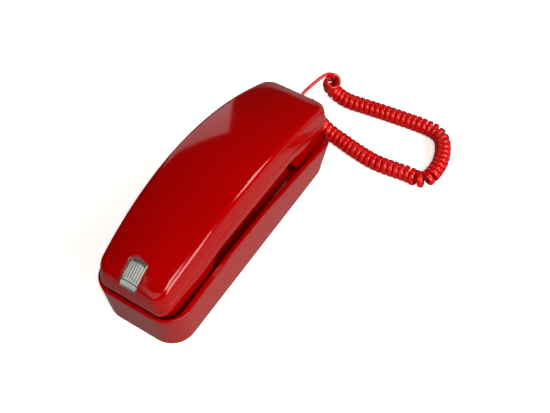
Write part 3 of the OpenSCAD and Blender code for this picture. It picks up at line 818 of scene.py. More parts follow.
FINISHES = {finish.slot: finish for finish in (
    Finish(Slot.RED_SHELL, (0.28, 0.0, 0.0), 0.09, peel_depth=0.05, scuff=0.30,
           dust=0.0, specular=0.30, drift=0.05),
    Finish(Slot.DARK_RED, (0.20, 0.006, 0.010), 0.34, scuff=0.3),
    Finish(Slot.KEY, (0.62, 0.58, 0.50), 0.30, peel_depth=0.03),
    Finish(Slot.BLACK, (0.012, 0.012, 0.014), 0.38),
    Finish(Slot.WHITE, (0.86, 0.84, 0.80), 0.40),
    Finish(Slot.CLEAR_LENS, (0.90, 0.92, 0.92), 0.07, transmission=0.96, drift=0.0,
           dust=0.03),
    Finish(Slot.CLEAR_PLUG, (0.88, 0.90, 0.88), 0.08, transmission=0.88, ior=1.58, drift=0.0,
           dust=0.05),
    Finish(Slot.CORD, (0.47, 0.0, 0.0), 0.26, specular=0.35, peel_scale=500.0, peel_depth=0.10,
           scuff=0.2, dust=0.05, drift=0.08),
    Finish(Slot.RUBBER, (0.020, 0.019, 0.018), 0.72, sheen=0.2, peel_scale=900.0,
           peel_depth=0.2, dust=0.3),
    Finish(Slot.SILICONE, (0.62, 0.60, 0.56), 0.50, sheen=0.1),
    Finish(Slot.STEEL, (0.56, 0.56, 0.55), 0.30, metallic=1.0, peel_scale=700.0),
    Finish(Slot.BALLAST, (0.34, 0.33, 0.31), 0.50, metallic=1.0, peel_scale=250.0,
           peel_depth=0.15),
    Finish(Slot.CAPSULE, (0.50, 0.48, 0.42), 0.36, metallic=1.0, peel_scale=600.0),
    Finish(Slot.BOARD, (0.10, 0.17, 0.06), 0.45, peel_scale=500.0, peel_depth=0.1),
    Finish(Slot.LAMP, (0.80, 0.72, 0.60), 0.15, transmission=0.4),
)}


def settle(piece: bpy.types.Object, slot: Slot, body: str, node: str) -> None:
    """Gives a piece its finish, its body and the CAD node that it stands for."""
    FINISHES[slot].dress(piece)
    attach(piece, body)
    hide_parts(node)


# ---------------------------------------------------------------- cord


def knots(points: Sequence[Sequence[float]], steps: int) -> Points:
    """Draws a Catmull-Rom curve through given points.

    Each point's slope is half the way from the one before it to the one after it.

    Args:
        points: Points in millimetres.
        steps: Divisions of each stretch.

    Returns:
        The curve's points in metres.
    """
    p = np.array(points, float) * MM
    count = len(p) - 1
    pad = np.vstack([p[:1], p, p[-1:]])
    start = np.repeat(np.arange(count), steps)
    t = np.tile(np.arange(steps) / steps, count)[:, None]
    a, b, c, d = (pad[start + k] for k in range(4))
    curve = 0.5 * (2 * b + (c - a) * t + (2 * a - 5 * b + 4 * c - d) * t ** 2
                   + (3 * b - a - 3 * c + d) * t ** 3)
    return np.vstack([curve, p[-1:]])


def run_of(curve: Points) -> Points:
    """Gives the distance along a curve at each of its points."""
    return np.concatenate([[0.0], np.cumsum(np.linalg.norm(np.diff(curve, axis=0), axis=1))])


def along(curve: Points, at: Points) -> Points:
    """Gives the points that lie the stated distances along a curve."""
    run = run_of(curve)
    return np.column_stack([np.interp(at, run, curve[:, k]) for k in range(3)])


def softened(data: Points, width: int) -> Points:
    """Averages each column over a window; odd reflection keeps both ends in place."""
    half = width // 2
    padded = np.pad(data, ((half, half), (0, 0)), mode="reflect", reflect_type="odd")
    window = np.ones(width) / width
    return np.column_stack([np.convolve(padded[:, k], window, mode="valid")
                            for k in range(data.shape[1])])


def carried_frames(curve: Points, first_side: Points) -> tuple[Points, Points, Points]:
    """Carries a side direction along a curve with no twist.

    Each step removes from the last side direction its part along the new heading.

    Args:
        curve: Points in metres.
        first_side: The side direction wanted at the start.

    Returns:
        Heading, side and the direction square to both, at each point.
    """
    heading = np.gradient(curve, axis=0)
    heading /= np.linalg.norm(heading, axis=1, keepdims=True)
    side = np.empty_like(curve)
    last = first_side
    for i, ahead in enumerate(heading):
        last = last - ahead * np.dot(last, ahead)
        last = last / np.linalg.norm(last)
        side[i] = last
    return heading, side, np.cross(heading, side)


@dataclass(frozen=True)
class HandsetCord:
    """The coiled flat cord between base and handset, made as one tube."""

    wide: float = 0.0046
    thick: float = 0.0029
    squareness: float = 2.8
    coil_r: float = 0.0053
    tight_pitch: float = 0.0046
    widest_pitch: float = 0.0075
    per_turn: int = 18
    sides: int = 12
    gather: float = 0.010
    closed_start: float = 0.050
    opening_share: float = 0.6
    least_squeeze: float = 0.25
    lead_twist: float = 0.02
    lead_step: float = 0.0012
    lead_overlap: float = 0.002
    gather_early: float = 0.003
    nearest_rings: float = 2e-5
    smoothing: int = 61
    samples: int = 3000
    knot_steps: int = 24
    bridge_steps: int = 12
    # Where the cord's last lead starts and ends.
    blend_start: tuple = (0.008, 0.118, 0.0335)
    blend_end: tuple = (0.008, 0.118, 0.0445)
    base_points: tuple = (
        (-14, 105, 11), (-14, 113, 11), (-14.5, 126, 14), (-12.5, 139, 20), (-9.5, 146, 24),
        (-6, 154, 27.5), (-2.5, 159.5, 29.5), (2, 162, 29.5),
    )
    coil_points: tuple = (
        (4.5, 158.5, 26), (1, 160, 20), (1.5, 161.5, 14), (8, 162, 9), (19, 161.5, 7.5),
        (34, 163.5, 7.5), (63, 167.5, 7.5), (90, 170, 7.5), (102, 167, 7.5),
        (109.5, 157, 7.5), (114, 143, 7.5), (114.5, 131, 7.5), (112.5, 121, 7.5),
        (106, 117, 7.5), (97, 117, 7.5), (71.5, 114, 7.5), (50, 116.5, 7.5),
        (36, 119.5, 7.5), (24, 121, 9), (14.5, 121.5, 14), (9, 121.5, 21), (7.5, 120.5, 28),
    )
    handset_points: tuple = (
        (7.5, 120.5, 28), (7.5, 119.5, 35), (8, 116, 42), (8, 112.5, 45.5), (8, 109.5, 46),
    )

    def helix(self, heading_in: Points) -> tuple[Points, Points]:
        """Winds the wire about the coil's route and on into the handset's lead.

        Each point is the route's point plus the coil's radius times the cosine and
        sine of a phase along the two side directions. The phase gains a turn for
        each pitch, the pitch opens where the route bends, though not in the first
        turns, and beyond the coil both radius and phase rate fade to nothing.

        Args:
            heading_in: The direction in which the base's lead arrives.

        Returns:
            The wire's points, and at each the heading of the coil's route, which
            fades to nothing where the wire leaves the coil.
        """
        coil = knots(self.coil_points, self.knot_steps)
        lead = knots(self.handset_points, self.knot_steps)
        route = np.vstack([coil, lead[1:]])
        coil_len, total = run_of(coil)[-1], run_of(route)[-1]
        at = np.linspace(0, total, self.samples)
        centre = softened(along(route, at), self.smoothing)
        ahead = centre[1] - centre[0]
        ahead = ahead / np.linalg.norm(ahead)
        swing = heading_in - ahead * np.dot(heading_in, ahead)
        first = np.cross(swing / np.linalg.norm(swing), ahead)
        heading, side, other = carried_frames(centre, first)
        turn = np.linalg.norm(
            np.gradient(softened(heading, self.smoothing), at, axis=0), axis=1)
        opening = self.opening_share * self.coil_r * turn * ease(at / self.closed_start)
        squeeze = np.clip(1 - opening, self.least_squeeze, 1)
        pitch = np.clip(self.tight_pitch / squeeze, self.tight_pitch, self.widest_pitch)
        fade = 1 - ease((at - coil_len + self.gather_early) / self.gather)
        rate = 2 * math.pi / pitch * (self.lead_twist + (1 - self.lead_twist) * fade)
        phase = np.concatenate([[0.0], np.cumsum((rate[1:] + rate[:-1]) / 2 * np.diff(at))])
        turns = phase[-1] / (2 * math.pi)
        log.info("coil: %.1f turns on a route of %.3f m", turns, coil_len)
        stops_in_phase = np.linspace(0, phase[-1], int(turns * self.per_turn))
        stops_in_lead = np.arange(coil_len - self.lead_overlap, total, self.lead_step)
        stops = np.unique(np.concatenate([
            np.interp(stops_in_phase, phase, at), stops_in_lead, [total]]))
        stops = stops[np.concatenate([[True], np.diff(stops) > self.nearest_rings])]
        shown = [np.column_stack([np.interp(stops, at, data[:, k]) for k in range(3)])
                 for data in (centre, side, other, heading * fade[:, None])]
        radius = self.coil_r * np.interp(stops, at, fade)[:, None]
        angle = np.interp(stops, at, phase)[:, None]
        wire = shown[0] + radius * (shown[1] * np.cos(angle) + shown[2] * np.sin(angle))
        return wire, shown[3]

    def centreline(self) -> tuple[Points, Points]:
        """Joins the base's lead to the helix with one smooth bend.

        The bend is a cubic that leaves the lead and reaches the helix along them.

        Returns:
            The whole wire's points, from the base's plug to the handset's, and the
            direction its wide side prefers at each, with its strength as length.
        """
        lead = knots(self.base_points, 10)
        wound, prefer = self.helix(lead[-1] - lead[-4])
        line = np.vstack([lead[:-4], wound[3:]])
        joint = len(lead) - 4
        span = np.linalg.norm(wound[3] - lead[-5])
        leave = (lead[-5] - lead[-6]) / np.linalg.norm(lead[-5] - lead[-6]) * span
        arrive = (wound[4] - wound[3]) / np.linalg.norm(wound[4] - wound[3]) * span
        t = np.linspace(0, 1, self.bridge_steps)[1:-1, None]
        bridge = ((2 * t ** 3 - 3 * t ** 2 + 1) * lead[-5] + (t ** 3 - 2 * t ** 2 + t) * leave
                  + (-2 * t ** 3 + 3 * t ** 2) * wound[3] + (t ** 3 - t ** 2) * arrive)
        line = np.vstack([line[:joint], bridge, line[joint:]])
        none = np.zeros((joint + len(bridge), 3))
        return line, np.vstack([none, prefer[3:]])

    def build(self) -> bpy.types.Object:
        """A ring is a superellipse: the sine and cosine each keep their sign and are
        raised to two over the squareness. It is wide along the coil's route.

        Returns:
            The cord's piece.
        """
        line, prefer = self.centreline()
        heading = np.gradient(line, axis=0)
        heading /= np.linalg.norm(heading, axis=1, keepdims=True)
        first = int(np.argmax(np.linalg.norm(prefer, axis=1) > 0.5))
        wide = np.zeros_like(line)
        for order in (range(first, -1, -1), range(first, len(line))):
            last = prefer[first]
            for i in order:
                wished = prefer[i] if np.linalg.norm(prefer[i]) > 0.6 else last
                last = wished - heading[i] * np.dot(wished, heading[i])
                last = last / np.linalg.norm(last)
                wide[i] = last
        thin = np.cross(heading, wide)
        angle = np.linspace(0, 2 * math.pi, self.sides, endpoint=False)
        shape = [np.sign(wave) * np.abs(wave) ** (2 / self.squareness)
                 for wave in (np.cos(angle), np.sin(angle))]
        ring = (wide[:, None] * shape[0][None, :, None] * self.wide
                + thin[:, None] * shape[1][None, :, None] * self.thick)
        verts = line[:, None] + ring / 2
        faces = ring_faces(len(line), self.sides, capped=True)
        piece = object_from("handset_cord", verts.reshape(-1, 3), faces)
        tidy_mesh(piece, 60, weld=1e-7)
        FINISHES[Slot.CORD].dress(piece)
        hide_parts("cord_base_lead", "cord_coil", "cord_handset_lead")
        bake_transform(piece)
        log.info("cord: %d rings, %.3f m of wire", len(line), run_of(line)[-1])
        return piece


# ---------------------------------------------------------------- base


@dataclass(frozen=True)
class BaseHousing:
    """The drafted tub with its curved rim, and the hump that the handset's arch hides."""

    form: BaseForm = field(default_factory=BaseForm)
    rim_round: float = 0.0013
    foot_round: float = 0.0010
    deck_round: float = 0.0020
    deck_end: float = 0.070
    under_end: float = 0.066
    under_round: float = 0.001
    skirt: float = 0.006
    drill_over: float = 0.004
    hump_sink: float = 0.001
    # How far in the rings of the hump's foot and of its top lie.
    hump_foot_insets: tuple = (0.0255, 0.012, 0.0)
    hump_top_insets: tuple = (0.008, 0.016, 0.0252)
    plunger_y: float = 0.074
    plunger_r: float = 0.00358
    # Corners of the openings for the cord's socket, the line's socket and the ringer knob.
    openings: tuple = (
        ((-0.01895, 0.085, 0.0060), (-0.00905, 0.115, 0.0160)),
        ((-0.045, 0.0537, 0.0062), (-0.030, 0.0663, 0.0158)),
        ((-0.045, -0.0285, 0.0090), (-0.030, -0.0195, 0.0130)),
    )

    def tub(self) -> bpy.types.Object:
        """Skins the tub from under its deck, down and up its wall, over its rim to its deck.

        Returns:
            The closed tub with its holes cut.
        """
        form = self.form
        under = form.deck_z - form.wall
        inner_top = form.wall_plan(under, form.wall)
        inner_foot = form.wall_plan(form.foot_z, form.wall)
        rings = [with_height(drawn_in(inner_top, self.under_end, s), under)
                 for s in (0.0, 0.35, 0.7, 0.94)]
        rings.append(with_height(inner_top, under - self.under_round))
        skirt = form.foot_z + self.skirt
        rings.append(with_height(form.wall_plan(skirt, form.wall), skirt))
        rings.append(with_height(inner_foot, form.foot_z))
        foot, first = form.wall_ring(0.0), form.wall_ring(0.03)
        low = toward(foot, with_height(inner_foot, form.foot_z), self.foot_round)
        rings += bend(low, foot, first, 5)
        rings += [form.wall_ring(s) for s in (0.08, 0.2, 0.35, 0.5, 0.65, 0.8, 0.92)]
        rim = form.wall_ring(1.0)
        pocket = form.pocket_plan()
        pocket_rim = with_height(pocket, form.rim_height(pocket[:, 1]))
        rings += bend(toward(rim, form.wall_ring(0.9), self.rim_round), rim,
                      toward(rim, pocket_rim, self.rim_round), 6)
        down = with_height(pocket, form.deck_z)
        rings += bend(toward(pocket_rim, rim, self.rim_round * 0.8), pocket_rim,
                      toward(pocket_rim, down, self.rim_round * 0.8), 6)
        rings.append((pocket_rim + down) / 2)
        flat = with_height(form.pocket_plan(self.deck_round), form.deck_z)
        rings += bend(toward(down, pocket_rim, self.deck_round), down, flat, 5)
        line = np.column_stack([np.zeros(len(pocket)),
                                np.clip(pocket[:, 1], -self.deck_end, self.deck_end)])
        rings += [with_height(line + (flat[:, :2] - line) * s, form.deck_z)
                  for s in (0.8, 0.5, 0.2, 0.0)]
        piece = ring_piece("base_tub", rings, 40)
        well = drill(0.0, self.plunger_y, under - self.drill_over,
                     form.deck_z + self.drill_over, self.plunger_r)
        cut(piece, [well] + [blocky(low, high) for low, high in self.openings])
        return piece

    def hump(self) -> bpy.types.Object:
        """Skins the raised cradle: sloped ends, upright sides and rounded edges.

        Returns:
            The closed hump.
        """
        form = self.form
        grow = (form.hump_foot_half - form.hump_top_half) / (form.hump_z - form.deck_z)

        def ring(level: float, inset: float = 0.0) -> Points:
            """The hump's outline at a height, drawn in by an inset."""
            half_len = form.hump_foot_half - (level - form.deck_z) * grow - inset
            half_w = form.hump_half_w - form.hump_draft * (level - form.deck_z) - inset
            radius = max(form.hump_corner_r - inset, 1e-4)
            return with_height(round_rect(half_len, half_w, radius), level)

        top, edge = form.hump_z, form.hump_round
        rings = [ring(form.deck_z - self.hump_sink, inset) for inset in self.hump_foot_insets]
        rings += [ring(form.deck_z + (top - form.deck_z) * s) for s in (0.15, 0.5, 0.85)]
        rings += bend(ring(top - edge), ring(top), ring(top, edge), 6)
        rings += [ring(top, inset) for inset in self.hump_top_insets]
        return ring_piece("base_hump", rings, 40, capped=True)

    def build(self) -> list[bpy.types.Object]:
        """Makes both pieces, which stand for the housing's CAD node.

        Returns:
            The pieces.
        """
        pieces = [self.tub(), self.hump()]
        for piece in pieces:
            settle(piece, Slot.RED_SHELL, "base", "base_housing")
        log.info("base housing: %s", [piece.name for piece in pieces])
        return pieces


# ---------------------------------------------------------------- handset


@dataclass(frozen=True)
class HandsetShells:
    """The handset's two outer mouldings, which meet at a curved parting line."""

    form: HandsetForm = field(default_factory=HandsetForm)
    parting_gap: float = 0.00012
    parting_bevel: float = 0.00035
    low_round: float = 0.0022
    face_round: float = 0.0016
    inner_round: float = 0.001
    key_rows: tuple = (-0.024, -0.0115, 0.001, 0.0135, 0.0275)
    key_pitch: float = 0.0145
    key_w: float = 0.0105
    key_l: float = 0.0085
    key_gap: float = 0.00025
    # Corners of the opening for the cord's socket in the far end.
    jack_corners: tuple = ((0.00310, 0.096, 0.0415), (0.01290, 0.115, 0.0505))
    faceplate_half_w: float = 0.025
    faceplate_half_l: float = 0.040
    faceplate_seat: float = 0.0008
    slot_half_w: float = 0.0055
    slot_ends: tuple = (-0.0373, -0.0337)
    cut_low: float = 0.045
    cut_over: float = 0.005
    # Radius of each circle of receiver holes, its first angle in degrees and its holes.
    receiver_circles: tuple = ((0.0, 0, 1), (0.005, 0, 6), (0.0086, 30, 6))
    receiver_y: float = -0.081
    receiver_hole_r: float = 0.0009
    mouth_xs: tuple = (-0.003, 0.0, 0.003)
    mouth_y: float = 0.087
    mouth_hole_r: float = 0.0008
    screw_x: float = 0.0205
    screw_y: float = 0.070
    screw_r: float = 0.0031
    hole_low: float = 0.015
    hole_over: float = 0.004

    def back(self) -> bpy.types.Object:
        """Skins the back shell: up its inside, round its crease and over its crown.

        Returns:
            The closed back shell with the lamp's opening and the cord's jack cut.
        """
        form, thick = self.form, self.form.shell
        share = form.parting_share(self.parting_gap)
        shares = (0.0, 0.2, 0.4, 0.6, 0.75, 0.86, 0.94)
        rings = [form.back_ring(s, thick) for s in shares]
        rings += [form.side_ring(0.92, thick), form.side_ring((share + 1) / 2, thick),
                  form.side_ring(share, thick)]
        edge, up = form.side_ring(share), form.side_ring(share + 0.12)
        rings += bend(toward(edge, form.side_ring(share, thick), self.parting_bevel), edge,
                      toward(edge, up, self.parting_bevel), 4)
        rings += [form.side_ring(share + (1 - share) * t) for t in (0.12, 0.25, 0.4, 0.55, 0.68)]
        crease = form.crease_ring()
        top_share = 1 - form.crease_r / form.crease_half_w
        rings += bend(toward(crease, form.side_ring(0.7), form.crease_r * 0.9), crease,
                      form.back_ring(top_share), 11)
        rings += [form.back_ring(top_share * s) for s in
                  (0.96, 0.9, 0.82, 0.74, 0.66, 0.57, 0.48, 0.39, 0.3, 0.2, 0.1, 0.0)]
        piece = ring_piece("handset_back", rings, 42)
        lens = LampWindow()
        cut(piece, [lens.prism(lens.gap), self.jack_hole()])
        return piece

    def front(self) -> bpy.types.Object:
        """Skins the front shell: its inside, its widest edge, its undercut and its face.

        Returns:
            The closed front shell with its keys', screws', sound and jack holes cut.
        """
        form, thick = self.form, self.form.shell
        share = form.parting_share(-self.parting_gap)
        rings = [form.face_ring(s, thick) for s in (0.0, 0.25, 0.5, 0.75, 0.92)]
        inner_face, inner_low = form.face_ring(1.0, thick), form.low_ring(thick)
        rings += bend(toward(inner_face, form.face_ring(0.9, thick), self.inner_round),
                      inner_face, toward(inner_face, inner_low, self.inner_round), 3)
        rings += [(inner_face + inner_low) / 2, inner_low, form.side_ring(share, thick)]
        edge, down = form.side_ring(share), form.side_ring(share * 0.7)
        rings += bend(toward(edge, form.side_ring(share, thick), self.parting_bevel), edge,
                      toward(edge, down, self.parting_bevel), 4)
        low, face = form.low_ring(), form.face_ring(1.0)
        rings += bend(form.side_ring(share * 0.55), low, toward(low, face, self.low_round), 7)
        rings += [low + (face - low) * t for t in (0.3, 0.5, 0.7)]
        rings += bend(toward(face, low, self.face_round), face,
                      toward(face, form.face_ring(0.9), self.face_round), 5)
        rings += [form.face_ring(s) for s in (0.9, 0.75, 0.6, 0.45, 0.3, 0.15, 0.0)]
        piece = ring_piece("handset_front", rings, 42)
        lens = LampWindow()
        cut(piece, [self.many_holes(), self.faceplate_recess(), self.jack_hole(),
                    lens.prism(lens.gap)])
        return piece

    def jack_hole(self) -> bpy.types.Object:
        """The opening for the cord's socket in the far end."""
        return blocky(*self.jack_corners)

    def faceplate_recess(self) -> bpy.types.Object:
        """The shallow seat that the dial's faceplate sits in."""
        half_w, half_l = self.faceplate_half_w, self.faceplate_half_l
        return blocky((-half_w, -half_l, self.cut_low),
                      (half_w, half_l, self.form.dial_z + self.faceplate_seat))

    def many_holes(self) -> bpy.types.Object:
        """Every upright hole through the face, as one cutter of separate solids."""
        low, high = self.cut_low, self.form.dial_z + self.cut_over
        half_w, half_l = self.key_w / 2 + self.key_gap, self.key_l / 2 + self.key_gap
        solids = []
        for y in self.key_rows:
            for x in (-self.key_pitch, 0.0, self.key_pitch):
                solids.append(blocky((x - half_w, y - half_l, low), (x + half_w, y + half_l, high)))
        near, far = self.slot_ends
        solids.append(blocky((-self.slot_half_w, near, low), (self.slot_half_w, far, high)))
        spots = []
        for radius, start, count in self.receiver_circles:
            for k in range(count):
                angle = math.radians(start + 60 * k)
                spots.append((radius * math.cos(angle),
                              radius * math.sin(angle) + self.receiver_y, self.receiver_hole_r))
        spots += [(x, self.mouth_y, self.mouth_hole_r) for x in self.mouth_xs]
        spots += [(x, y, self.screw_r) for x in (-self.screw_x, self.screw_x)
                  for y in (-self.screw_y, self.screw_y)]
        over = self.form.face_z + self.hole_over
        solids += [drill(x, y, self.hole_low, over, radius) for x, y, radius in spots]
        return join("holes", solids)

    def build(self) -> list[bpy.types.Object]:
        """Makes both shells.

        Returns:
            The pieces.
        """
        back, front = self.back(), self.front()
        for piece, node in ((back, "handset_back_shell"), (front, "handset_front_shell")):
            settle(piece, Slot.RED_SHELL, "handset", node)
        log.info("handset shells: %d and %d faces", len(back.data.polygons),
                 len(front.data.polygons))
        return [back, front]


@dataclass(frozen=True)
class LampWindow:
    """The ribbed clear window that wraps over the receiver end, with a white ribbed tray under it
    that also holds a painted reflection and painted shade.
    """

    form: HandsetForm = field(default_factory=HandsetForm)
    half_w: float = 0.00725
    far_y: float = -0.090
    arch_r: float = 0.0125
    low_z: float = 0.057
    gap: float = 0.00015
    proud: float = 0.0004
    thick: float = 0.0008
    groove: float = 0.0006
    ribs: int = 6
    rib_h: float = 0.00012
    # Where the ribs fade in and out, as shares of the way down the window.
    rib_fades: tuple = (0.08, 0.62, 0.05)
    edge_fade: float = 0.08
    rows: int = 85
    steps: int = 90
    back_steps: int = 24
    side_play: float = 0.995
    tray_share: float = 0.97
    tray_thick: float = 0.0006
    tray_gap: float = 0.0001
    # How far past the handset's end and its back the cutter reaches.
    prism_end: float = -0.125
    prism_top: float = 0.100
    rib_from: float = -0.25
    # Shares across and down the window that bound the tray's ribs, bars and margin. The pale strip
    # at the lower end is a painted reflection, and the black band left before it on the crease is
    # painted shade.
    ribs_across: float = 0.84
    painted_glare_across: float = 0.97
    margin_down: float = 0.07
    ribs_down: tuple = (0.14, 0.66)
    join_down: tuple = (0.66, 0.72)
    # A painted reflection: the pale strip over the lower crease and the end face.
    painted_glare_down: tuple = (0.76, 0.97)

    def prism(self, extra: float) -> bpy.types.Object:
        """Makes the upright cutter for the window's opening.

        Args:
            extra: How much larger than the window it is all round.

        Returns:
            The cutter.
        """
        half = self.half_w + extra
        x = np.linspace(half, -half, 33)
        arch = np.column_stack([x, self.arch_y(x) + extra])
        plan = np.vstack([arch, [[-half, self.prism_end], [half, self.prism_end]]])
        rings = [with_height(plan, self.low_z - extra), with_height(plan, self.prism_top)]
        return ring_piece("prism", rings, capped=True)

    def arch_y(self, x: Points) -> Points:
        """Gives where the window's shallow far arc lies.

        Args:
            x: Distances from the middle.

        Returns:
            The arc's places along the handset.
        """
        return self.far_y - self.arch_r + np.sqrt(self.arch_r ** 2 - np.square(x))

    def profile(self, x: float, steps: int) -> Points:
        """Follows the handset's outside lengthwise: along its back, round its end, down.

        Args:
            x: Distance from the middle.
            steps: Points given.

        Returns:
            Points evenly spaced along the profile.
        """
        form = self.form
        start = float(self.arch_y(np.array(x)))
        end_y = -form.crease_half_len
        y = np.linspace(start, end_y + form.crease_r, self.back_steps)
        across = np.full(self.back_steps, x)
        back = np.column_stack([across, y, form.back_height(across, y)])
        corner = np.array([x, end_y, float(form.crease_height(np.array(end_y)))])
        low_y = -form.low_half_len
        low = np.array([x, low_y, float(form.lower_height(np.array(low_y)))])
        down = (low - corner) / np.linalg.norm(low - corner)
        first = corner + down * form.crease_r * 0.9
        last = corner + down * (corner[2] - self.low_z) / -down[2]
        curve = np.vstack([back, np.array(bend(back[-1], corner, first, 12))[1:], last])
        run = run_of(curve)
        return along(curve, np.linspace(0, run[-1], steps))

    def build(self) -> list[bpy.types.Object]:
        """Makes the window and the ribbed tray that shows through it, which also holds a painted
        reflection and painted shade.

        The window's outside is the handset's own profile pushed out by a small
        constant plus ribs, a raised cosine across that fades at both ends.

        Returns:
            The pieces.
        """
        across, down, grid, normal = self.sheet(1.0)
        fade_in, stop, fade_out = self.rib_fades
        fade = ease(down / fade_in) * ease((stop - down) / fade_out)
        rib = 0.5 + 0.5 * np.cos(across * self.ribs * math.pi)
        edge = ease((1 - np.abs(across)) / self.edge_fade)
        lift = (self.proud + self.rib_h * rib[:, None] * fade[None, :]) * edge[:, None]
        window = slab_piece("lamp_window", grid + normal * lift[..., None],
                            grid - normal * self.thick, 50)
        settle(window, Slot.CLEAR_LENS, "handset", "lamp_lens")
        log.info("lamp window: %d faces", len(window.data.polygons))
        return [window, self.reflector_and_painted_light()]

    def sheet(self, share: float) -> tuple[Points, Points, Points, Points]:
        """Lays a grid over the window.

        Args:
            share: How much of the window's width it covers.

        Returns:
            Places across from -1 to 1 and down from 0 to 1, the grid on the
            handset's own outside, and its outward normals.
        """
        across, down = np.linspace(-1, 1, self.rows), np.linspace(0, 1, self.steps)
        xs = across * (self.half_w - 2 * self.gap) * self.side_play * share
        grid = np.stack([self.profile(float(x), self.steps) for x in xs])
        normal = sheet_normals(grid)
        return across, down, grid, normal * np.sign(normal[:, :1, 2:])

    def reflector_and_painted_light(self) -> bpy.types.Object:
        """Makes the tray under the window: pale ribs and bars over dark grooves.

        The ribs are where a cosine across is above a small constant. They stop
        short of the arch, and two bars lie square to them at the lower end. The
        outer one, over the crease and the end face, is a painted reflection, and
        the black band left between the two, on the crease, is painted shade.

        Returns:
            The closed tray.
        """
        across, down, grid, normal = self.sheet(self.tray_share)
        rib = np.cos(across * (self.ribs + 1) * math.pi) > self.rib_from
        inside = np.abs(across) < self.ribs_across
        # The third mask is the pale strip at the lower end, a painted reflection.
        ribs, join_bar, painted_glare = ((down > start) & (down < end)
                               for start, end in (self.ribs_down, self.join_down, self.painted_glare_down))
        pale = (rib & inside)[:, None] & ribs[None, :]
        pale |= inside[:, None] & join_bar[None, :]
        pale |= (np.abs(across) < self.painted_glare_across)[:, None] & painted_glare[None, :]
        bottom = self.thick + self.groove
        depth = np.where(pale, self.thick + self.tray_gap, bottom)
        tray = slab_piece("lamp_reflector_and_painted_light", grid - normal * depth[..., None],
                          grid - normal * (bottom + self.tray_thick), 30)
        settle(tray, Slot.WHITE, "handset", "lamp_lens")
        for slot in (Slot.BLACK, Slot.RED_SHELL):
            tray.data.materials.append(FINISHES[slot].material())
        margin = ~inside[:, None] | (down < self.margin_down)[None, :]
        margin &= (down < self.join_down[1])[None, :]
        # Cells left black between the two lower strips lie on the crease: painted shade.
        cells = np.where(pale, 0, np.where(margin, 2, 1))
        which = np.ones(len(tray.data.polygons), np.int32)
        shown = cells[:-1, :-1].ravel()
        which[:len(shown)] = shown
        tray.data.polygons.foreach_set("material_index", which)
        return tray


@dataclass(frozen=True)
class Keypad:
    """Fifteen moulded key caps with generic digits on the face that is dialled."""

    names: tuple = ("1", "2", "3", "4", "5", "6", "7", "8", "9", "star", "0", "hash",
                    "flash", "redial", "mute")
    glyphs: tuple = ("1", "2", "3", "4", "5", "6", "7", "8", "9", "*", "0", "#", "", "", "")
    face_z: float = 0.051
    flange_z: float = 0.0554
    flange_t: float = 0.001
    flange: float = 0.0010
    corner: float = 0.0016
    dish: float = 0.00035
    # How far in each ring of the dished face lies, and its share of the dish.
    dish_rings: tuple = ((0.0016, 0.35), (0.0024, 0.75), (0.0034, 1.0))
    hollow: float = 0.004
    skirt: float = 0.0012
    edge: float = 0.0009
    edge_draft: float = 0.0001
    edge_in: float = 0.0010
    digit_size: float = 0.0062
    digit_height: float = 0.00012

    def cap(self, name: str, x: float, y: float, shells: HandsetShells) -> bpy.types.Object:
        """Skins one cap from its flange down to its dished face.

        Args:
            name: The piece's name.
            x: Its middle.
            y: Its middle.
            shells: The shells that hold the keypad's sizes.

        Returns:
            The closed cap.
        """
        half_l, half_w = shells.key_l / 2, shells.key_w / 2

        def ring(grow: float, level: float) -> Points:
            """The cap's outline at a height, grown all round."""
            plan = round_rect(half_l + grow, half_w + grow, max(self.corner + grow, 2e-4),
                              0.0, 6, 5, 6)
            return with_height(plan + np.array([x, y]), level)

        top = self.flange_z + self.flange_t
        rings = [ring(self.flange - self.hollow, top), ring(self.flange, top),
                 ring(self.flange, self.flange_z), ring(0.0, self.flange_z),
                 ring(0.0, self.face_z + self.skirt)]
        rings += bend(ring(0.0, self.face_z + self.edge), ring(-self.edge_draft, self.face_z),
                      ring(-self.edge_in, self.face_z), 5)
        rings += [ring(-inset, self.face_z + self.dish * share)
                  for inset, share in self.dish_rings]
        return ring_piece(name, rings, 38, capped=True)

    def glyph(self, text: str, x: float, y: float) -> bpy.types.Object:
        """Draws one generic digit as a thin raised mesh that reads from below.

        Args:
            text: The digit.
            x: Its middle.
            y: Its middle.

        Returns:
            The digit's mesh object.
        """
        curve = bpy.data.curves.new("digit", "FONT")
        curve.body = text
        curve.size, curve.extrude = self.digit_size, self.digit_height
        curve.align_x = curve.align_y = "CENTER"
        holder = linked("digit", curve)
        bpy.context.view_layer.update()
        graph = bpy.context.evaluated_depsgraph_get()
        mesh = bpy.data.meshes.new_from_object(holder.evaluated_get(graph))
        bpy.data.objects.remove(holder)
        mesh.transform(Matrix.Translation((x, y, self.face_z + self.dish))
                       @ Matrix.Rotation(math.pi, 4, "Y") @ Matrix.Rotation(math.pi, 4, "Z"))
        return linked("digit", mesh)

    def build(self, shells: HandsetShells) -> list[bpy.types.Object]:
        """Makes every key and puts its digit on it.

        Args:
            shells: The shells that hold the keypad's sizes.

        Returns:
            The pieces.
        """
        pieces = []
        for index, (name, text) in enumerate(zip(self.names, self.glyphs)):
            x = (index % 3 - 1) * shells.key_pitch
            y = shells.key_rows[index // 3]
            piece = self.cap("keycap_" + name, x, y, shells)
            plain = len(piece.data.polygons)
            if text:
                piece = join("keycap_" + name, [piece, self.glyph(text, x, y)])
            piece.name = "keycap_" + name
            settle(piece, Slot.KEY, "key_" + name + "_cap", "key_" + name)
            piece.data.materials.append(FINISHES[Slot.BLACK].material())
            which = (np.arange(len(piece.data.polygons)) >= plain).astype(np.int32)
            piece.data.polygons.foreach_set("material_index", which)
            pieces.append(piece)
        log.info("keypad: %d caps", len(pieces))
        return pieces


# ---------------------------------------------------------------- studio


